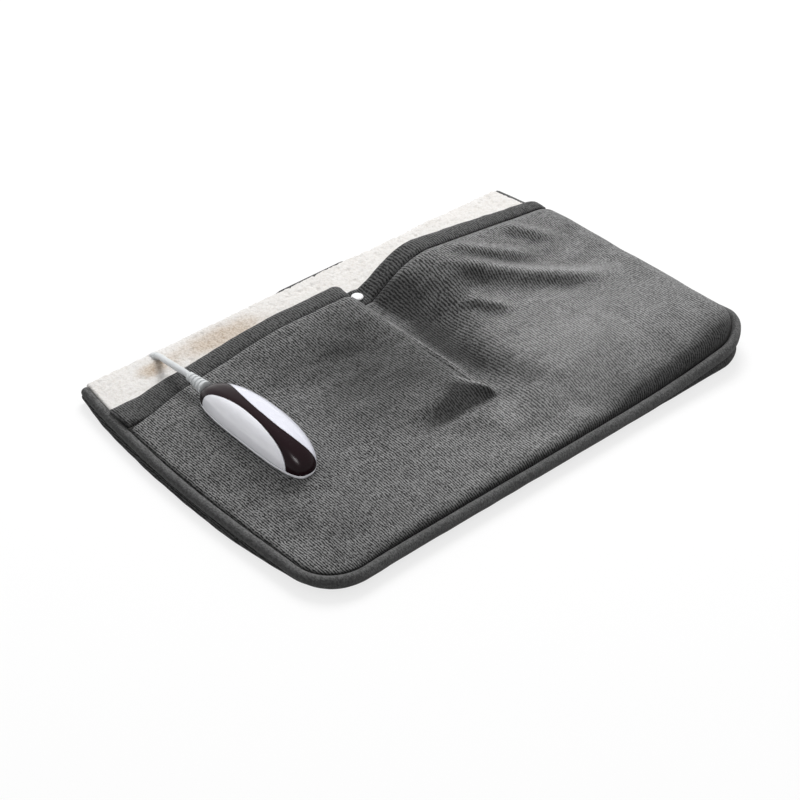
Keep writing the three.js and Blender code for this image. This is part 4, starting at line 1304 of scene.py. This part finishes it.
def makeBed():
    hidden = np.linspace(frontEdge + pad["corner"], bed["shownFrom"], 14, endpoint=False)
    shown = np.arange(bed["shownFrom"], bed["stripFrom"], bed["shownPitch"])
    strip = np.linspace(bed["stripFrom"], bed["back"], bed["stripRows"])
    turn = np.linspace(0, math.pi / 2, 8, endpoint=False)
    radius = pad["corner"] - bed["inset"]
    depths = np.concatenate([frontEdge + bed["inset"] + radius * (1 - np.cos(turn)), hidden, shown, strip])
    y = np.repeat(depths[:, None], bed["columns"], axis=1)
    inset = lerp(bed["inset"], bed["stripInset"], smooth(*bed["stripWidens"], depths))
    x = insetHalfWidth(depths, inset)[:, None] * np.linspace(-1, 1, bed["columns"])[None]
    fluffy = smooth(*bed["fluffy"], y)
    roll = quarter((bed["back"] - y) / bed["backRound"])
    curls = fluffy * (fleeceHeight(x, y) + bed["lift"]) * lerp(bed["backFluff"], 1, roll)
    z = bed["top"] - bed["sunk"] + curls - bed["backFall"] * (1 - roll)
    roof = coverHeight(x, np.minimum(y, pad["hemFront"])) - topCover["thickness"] - bed["under"]
    z = np.where(y < pad["hemFront"], np.minimum(z, roof), z)
    stray = bed["stray"] * waves(x, y, bed["straySize"], 46) * fluffy
    upper = np.stack([x, y + stray, z], axis=2)
    under = np.stack([x, y, np.full_like(z, bed["bottom"])], axis=2)
    piece = makeShell("bedLining", drape(upper), drape(under), fleece)
    dress(piece, "pad", "fleece", "bed_lining")


topLining = {
    "columns": 181,
    "cornerRows": 8,
    "rows": 60,
    "thickness": 5,
    "thinnest": 0.3,
    "gap": 1.8,
    "floorGap": 0.6,
    "curlFrom": (0, 40),
    "curl": 0.5,
    "inset": 26.0,
    "back": 90.5,
}


def makeTopLining():
    x, y = sheetGrid(topLining["columns"], topLining["cornerRows"], topLining["rows"], topLining["back"],
                     topLining["inset"])
    low = coverHeight(x, y) - topCover["thickness"] - topLining["gap"]
    upper = np.stack([x, y, np.maximum(low, pad["pocketFloor"] + topLining["floorGap"])], axis=2)
    curl = smooth(*topLining["curlFrom"], y) * fleeceHeight(x, y) * topLining["curl"]
    thinnest = topLining["thinnest"]
    thin = np.clip(low - pad["pocketFloor"] - thinnest, thinnest, topLining["thickness"])
    under = np.stack([x, y, np.maximum(upper[..., 2] - thin - curl, pad["pocketFloor"])], axis=2)
    piece = makeShell("topLining", drape(upper), drape(under), fleece)
    snapPull(piece)
    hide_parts("top_lining")


makeBed()
makeTopLining()
print("fleece made")


# Head of the press snap

snapLow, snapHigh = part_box("snap_cap")
snapCap = {
    "sides": 48,
    "height": 2.2,
    "post": 1.5,
    "head": [  # share of the radius and of the height, from the rim to the middle
        (0.95, 0.0), (1.0, 0.14), (1.0, 0.34), (0.985, 0.52), (0.94, 0.68), (0.86, 0.80), (0.72, 0.89),
        (0.5, 0.96), (0.25, 0.99), (0.0, 1.0),
    ],
}


def makeSnapCap():
    radius = (snapHigh.x - snapLow.x) / mm / 2
    base = snapHigh.z / mm - snapCap["height"]
    profile = [(0, snapLow.z / mm), (snapCap["post"], snapLow.z / mm), (snapCap["post"], base)]
    profile += [(out * radius, base + up * snapCap["height"]) for out, up in snapCap["head"]]
    rings = latheRings(profile, snapCap["sides"]) + (pad["snapX"], pad["snapY"], 0)
    dress(makeTube("snapCap", rings, snapPlastic), "snap_top", "snap_plastic", "snap_cap")


makeSnapCap()


# Hand control: white base, dark band, white crescent and the white heat key

baseLow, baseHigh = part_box("control_base")
control = {
    "length": 134,
    "left": 15.5,
    "right": 25,
    "leftFullness": 3.2,
    "rightFullness": 2.2,
    "baseHeight": 4,
    "baseRoll": 3,
    "rimPlane": 4.3,
    "keyRise": 5.1,
    "dome": 22.7,
    "domeFullness": 2.4,
    "domeTip": 0.0005,
    "wall": 1.6,
    "wallFoot": 2,
    "edge": 0.35,
    "baseEdge": 0.3,
    "weld": 0.06,
    "parting": 0.22,
    "recessGap": 0.4,
    "recessDepth": 3,
    "around": 192,
    "up": 56,
}
controlPlace = np.array([baseLow.x / mm + control["left"], (baseLow.y + baseHigh.y) / 2 / mm, baseLow.z / mm])
keyLine = [  # across in millimetres, along as a share of half the length
    (-15.5, 0.93), (-12.5, 0.84), (-9.2, 0.69), (-6.4, 0.373), (-5.4, 0.119),
    (-6.2, -0.179), (-8, -0.418), (-10.2, -0.642), (-13, -0.806), (-17, -0.955),
]
coverLine = [
    (16.4, 0.97), (12.3, 0.851), (9.2, 0.672), (5.1, 0.418), (2.5, 0.134),
    (1.5, -0.149), (1.7, -0.418), (4.3, -0.687), (8, -0.866), (12.4, -1),
]


def planRing(inset):
    turn = np.arange(control["around"]) / control["around"] * tau
    right = np.cos(turn) > 0
    reach = np.where(right, control["right"], control["left"])
    x, y = fullCircle(turn, np.where(right, control["rightFullness"], control["leftFullness"]))
    return np.stack([(reach - inset) * x, (control["length"] / 2 - inset) * y], axis=1)


def ringAt(flat, height):
    return np.concatenate([flat, np.full((len(flat), 1), height)], axis=1) + controlPlace


def domeRings():
    power = 2 / control["domeFullness"]
    flat = planRing(0)
    rings = []
    for turn in np.linspace(0, math.pi / 2, control["up"]):
        scale = max(max(math.cos(turn), 0) ** power, control["domeTip"])
        height = control["rimPlane"] + control["dome"] * math.sin(turn) ** power
        rings.append(ringAt(flat * scale, height))
    return np.array(rings)


def lineAcross(line, y):
    # smooth line through the points, read as across for along
    path = smoothPath([(across, share * control["length"] / 2) for across, share in line], 12)
    path = path[np.argsort(path[:, 1])]
    slopeLow = (path[1, 0] - path[0, 0]) / (path[1, 1] - path[0, 1])
    slopeHigh = (path[-1, 0] - path[-2, 0]) / (path[-1, 1] - path[-2, 1])
    inside = np.interp(y, path[:, 1], path[:, 0])
    inside = np.where(y < path[0, 1], path[0, 0] + slopeLow * (y - path[0, 1]), inside)
    return np.where(y > path[-1, 1], path[-1, 0] + slopeHigh * (y - path[-1, 1]), inside)


def cutFlat(build, place, normal, **cleared):
    everything = build.verts[:] + build.edges[:] + build.faces[:]
    bmesh.ops.bisect_plane(build, geom=everything, dist=1e-7, plane_co=place, plane_no=normal, **cleared)


def cutAlong(build, line, keepLeft):
    # the shell is bent so that the line is straight, cut there and bent back
    gap = control["parting"] * (-1 if keepLeft else 1)

    def bend(way):
        along = np.array([point.co.y / mm - controlPlace[1] for point in build.verts])
        shift = (lineAcross(line, along) + controlPlace[0] + gap) * mm
        for point, amount in zip(build.verts, shift):
            point.co.x += amount * way

    bend(-1)
    cutFlat(build, (0, 0, 0), (1, 0, 0), clear_outer=keepLeft, clear_inner=not keepLeft)
    bend(1)


def makePanel(name, material, cuts, lift=0.0):
    rings = domeRings()
    rows, columns = rings.shape[:2]
    top = (rows - 1) * columns
    faces = gridFaces(rows, columns, 0, True) + [tuple(range(top, top + columns))]
    piece = addPiece(name, rings, faces, material)
    build = bmesh.new()
    build.from_mesh(piece.data)
    for line, keepLeft in cuts:
        cutAlong(build, line, keepLeft)
    if lift:
        height = (controlPlace[2] + control["rimPlane"] + lift) * mm
        cutFlat(build, (0, 0, height), (0, 0, 1), clear_inner=True)
    bmesh.ops.remove_doubles(build, verts=build.verts, dist=control["weld"] * mm)
    bmesh.ops.recalc_face_normals(build, faces=build.faces)
    if sum(face.normal.z * face.calc_area() for face in build.faces) < 0:
        bmesh.ops.reverse_faces(build, faces=build.faces)
    build.to_mesh(piece.data)
    build.free()
    wall = piece.modifiers.new("Wall", "SOLIDIFY")
    wall.thickness = control["wall"] * mm
    wall.offset = -1
    roundEdges(piece, control["edge"], 3, 50)
    return piece


def makeBase():
    roll, top, edge, wall = [control[size] for size in ("baseRoll", "baseHeight", "baseEdge", "wall")]
    profile = [(roll * 3, 0)]  # how far in from the outline, and height
    profile += [(roll * (1 - math.sin(turn)), roll * (1 - math.cos(turn)))
                for turn in np.linspace(0, math.pi / 2, 10)]
    profile += [(0, top - edge), (edge, top), (wall, top), (wall, control["wallFoot"])]
    rings = [ringAt(planRing(inset), height) for inset, height in profile]
    piece = makeTube("controlBase", np.array(rings), whitePlastic)
    for screw in ("case_screw_nose", "case_screw_lead"):
        low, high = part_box(screw)
        middle = (low + high) / 2
        cutter = bpy.data.objects.new("recess", bpy.data.meshes.new("recess"))
        bpy.context.scene.collection.objects.link(cutter)
        build = bmesh.new()
        place = Matrix.Translation((middle.x, middle.y, baseLow.z))
        radius = (high.x - low.x) / 2 + control["recessGap"] * mm
        bmesh.ops.create_cone(build, cap_ends=True, segments=40, radius1=radius, radius2=radius,
                              depth=control["recessDepth"] * mm, matrix=place)
        build.to_mesh(cutter.data)
        build.free()
        recess = piece.modifiers.new("Recess", "BOOLEAN")
        recess.object = cutter
        recess.operation = "DIFFERENCE"
        applyModifiers(piece)
        bpy.data.objects.remove(cutter)
    dress(piece, "controller", "white_plastic", "control_base")


makeBase()
dress(makePanel("controlBand", bandPlastic, [(keyLine, False), (coverLine, True)]),
      "controller", "band_plastic", "control_band")
dress(makePanel("sideCover", shadedCoverPlastic, [(coverLine, False)]), "controller", "white_plastic", "side_cover")
dress(makePanel("heatKey", whitePlastic, [(keyLine, True)], control["keyRise"] - control["rimPlane"]),
      "key", "white_plastic", "heat_key")
print("hand control made")


# Ribbed strain relief at the end of the control

reliefLow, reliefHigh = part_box("strain_relief")
relief = {
    "length": 22,
    "wide": 12,
    "narrow": 7.6,
    "ribs": 5,
    "ribDepth": 1.1,
    "grooveFalls": (0.52, 0.66),  # shares of a rib's pitch
    "grooveRises": (0.88, 1.0),
    "tipFrom": 0.96,
    "tipShare": 0.86,
    "sides": 48,
    "steps": 120,
}


def makeRelief():
    along = np.linspace(0, 1, relief["steps"])
    outer = lerp(relief["wide"], relief["narrow"], along) / 2
    phase = (along * relief["ribs"]) % 1
    groove = smooth(*relief["grooveFalls"], phase) * (1 - smooth(*relief["grooveRises"], phase))
    groove = groove * (along < 1 - 0.5 / relief["ribs"])
    radius = outer - relief["ribDepth"] * groove
    tip = 1 - np.clip((along - relief["tipFrom"]) / (1 - relief["tipFrom"]), 0, 1) ** 2
    radius = radius * lerp(relief["tipShare"], 1, tip)
    end = reliefHigh.y / mm
    profile = [(0, end - relief["length"])]
    profile += [(r, end - relief["length"] * (1 - a)) for r, a in zip(radius, along)]
    profile += [(0, end)]
    rings = latheRings(profile, relief["sides"])[..., [0, 2, 1]]
    middle = (reliefLow + reliefHigh) / 2 / mm
    rings = rings + (middle.x, 0, middle.z)
    dress(makeTube("strainRelief", rings, cordVinyl), "controller", "cord_rubber", "strain_relief")


makeRelief()


# Rubber entry of the lead in the back seam: a block under the fleece and the collar that shows

gland = {
    "top": 14.2,
    "narrow": 0.8,
    "edge": 1.2,
    "apart": 1e-4,  # keeps collar points at one place in order
    "collar": [  # along the lead from its end, and radius
        (-5.5, 2.8), (-5.5, 3.0), (-5.0, 3.2), (-3.0, 3.3), (0.0, 3.4), (3.0, 3.4), (4.0, 3.0), (4.0, 2.0),
    ],
}


def makeGland():
    low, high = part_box("lead_gland")
    piece = bpy.data.objects.new("leadGland", nodes["lead_gland"].data.copy())
    bpy.context.scene.collection.objects.link(piece)
    middle = (low.x + high.x) / 2
    squeeze = (gland["top"] * mm - low.z) / (high.z - low.z)
    for point in piece.data.vertices:
        point.co.x = middle + (point.co.x - middle) * gland["narrow"]
        point.co.z = low.z + (point.co.z - low.z) * squeeze
    piece.data.materials.clear()
    piece.data.materials.append(cordVinyl)
    roundEdges(piece, gland["edge"], 4, 25)
    dress(piece, "pad", "cord_rubber", "lead_gland")


def makeCollar():
    before, end = [np.array(point, float) for point in lead["route"][-2:]]
    ahead = unit(end - before)
    path = np.array([end + ahead * along for along, radius in gland["collar"]])
    path = path + ahead * np.arange(len(path))[:, None] * gland["apart"]
    sections = np.array([roundSection(lead["sides"], radius, radius) for along, radius in gland["collar"]])
    dress(makeTube("leadCollar", sweepRings(path, sections), cordVinyl), "pad", "cord_rubber")


makeGland()
makeCollar()
print("lead fittings made")


# Finishes of the pieces inside

inside = {
    "felt": makeFelt("feltCarrier", (0.68, 0.66, 0.62, 1)),
    "wire_sleeve": makeMoulded("wireSleeve", (0.47, 0.19, 0.04, 1), 0.55),
    "snap_plastic": snapPlastic,
    "dark_plastic": makeMoulded("darkPlastic", (0.01, 0.01, 0.012, 1), 0.5, 0.0, 0.06),
    "green_plastic": makeMoulded("greenPlastic", (0.04, 0.19, 0.07, 1), 0.45),
    "yellow_plastic": makeMoulded("yellowPlastic", (0.58, 0.38, 0.04, 1), 0.35, 0.3),
    "board_laminate": makeMoulded("boardLaminate", (0.03, 0.15, 0.05, 1), 0.4, 0.2, 0.08),
    "fuse_ceramic": makeMoulded("fuseCeramic", (0.69, 0.71, 0.68, 1), 0.25),
    "led_lens": makeMoulded("ledLens", (0.88, 0.78, 0.57, 1), 0.15, 0.4),
    "screw_steel": makeMetal("screwSteel", (0.62, 0.62, 0.63, 1), 0.28),
    "core_brown": makeMoulded("coreBrown", (0.20, 0.07, 0.02, 1), 0.5),
    "core_blue": makeMoulded("coreBlue", (0.03, 0.11, 0.39, 1), 0.5),
}
for subpart in frame["record"]["subparts"]:
    node = nodes[subpart["node"]]
    if subpart["material_slot"] in inside and not node.hide_render:
        node.data.materials.clear()
        node.data.materials.append(inside[subpart["material_slot"]])
print("inner finishes set")


# White studio with soft light from behind on the right

studio = {
    "zenith": 0.66,
    "horizon": 0.21,
    "keyPlace": (1.0, 1.1, 2.0),
    "keySize": 1.2,
    "keyPower": 55,
    "shinePlace": (-1.3, -0.9, 1.9),
    "shineSize": 0.9,
    "shinePower": 50,
    "floorShade": 0.25,
    "floorHalf": 4000,
    "floorDrop": 0.6,
}


def addLamp(name, place, size, power, mirrored):
    lamp = bpy.data.lights.new(name, "AREA")
    lamp.size = size
    lamp.energy = power
    holder = bpy.data.objects.new(name, lamp)
    holder.location = place
    holder.rotation_euler = Vector(place).to_track_quat("Z", "Y").to_euler()
    holder.visible_glossy = mirrored
    holder.visible_diffuse = not mirrored
    bpy.context.scene.collection.objects.link(holder)


def makeFloor():
    finish = Finish("floorPaper")
    paper = finish.add("ShaderNodeBsdfDiffuse", {}, {"Color": (0.9, 0.9, 0.9, 1)})
    glow = finish.add("ShaderNodeEmission", {}, {"Color": (1, 1, 1, 1), "Strength": 1.0})
    white = finish.direct() * (1 - studio["floorShade"])
    mixed = finish.add("ShaderNodeMixShader", {}, {0: white, 1: paper, 2: glow})
    finish.add("ShaderNodeOutputMaterial", {}, {"Surface": mixed})
    half = studio["floorHalf"]
    corners = [(x * half, y * half, -studio["floorDrop"]) for x, y in ((-1, -1), (1, -1), (1, 1), (-1, 1))]
    addPiece("floor", corners, [(0, 1, 2, 3)], finish.material)


def makeWorld():
    world = bpy.data.worlds.new("studio")
    world.use_nodes = True
    finish = Finish("studioLight", world.node_tree)
    up = finish.axes(finish.add("ShaderNodeTexCoord", {}, {}, "Generated"))[2]
    strength = studio["horizon"] + up.between(0.0, 0.9) * (studio["zenith"] - studio["horizon"])
    soft = finish.add("ShaderNodeBackground", {}, {"Color": (1, 1, 1, 1), "Strength": strength})
    white = finish.add("ShaderNodeBackground", {}, {"Color": (1, 1, 1, 1), "Strength": 1.0})
    mixed = finish.add("ShaderNodeMixShader", {}, {0: finish.direct(), 1: soft, 2: white})
    finish.add("ShaderNodeOutputWorld", {}, {"Surface": mixed})
    bpy.context.scene.world = world


makeFloor()
makeWorld()
addLamp("key", studio["keyPlace"], studio["keySize"], studio["keyPower"], False)
addLamp("shine", studio["shinePlace"], studio["shineSize"], studio["shinePower"], True)
bpy.context.scene.view_settings.view_transform = "Standard"
print("studio set")
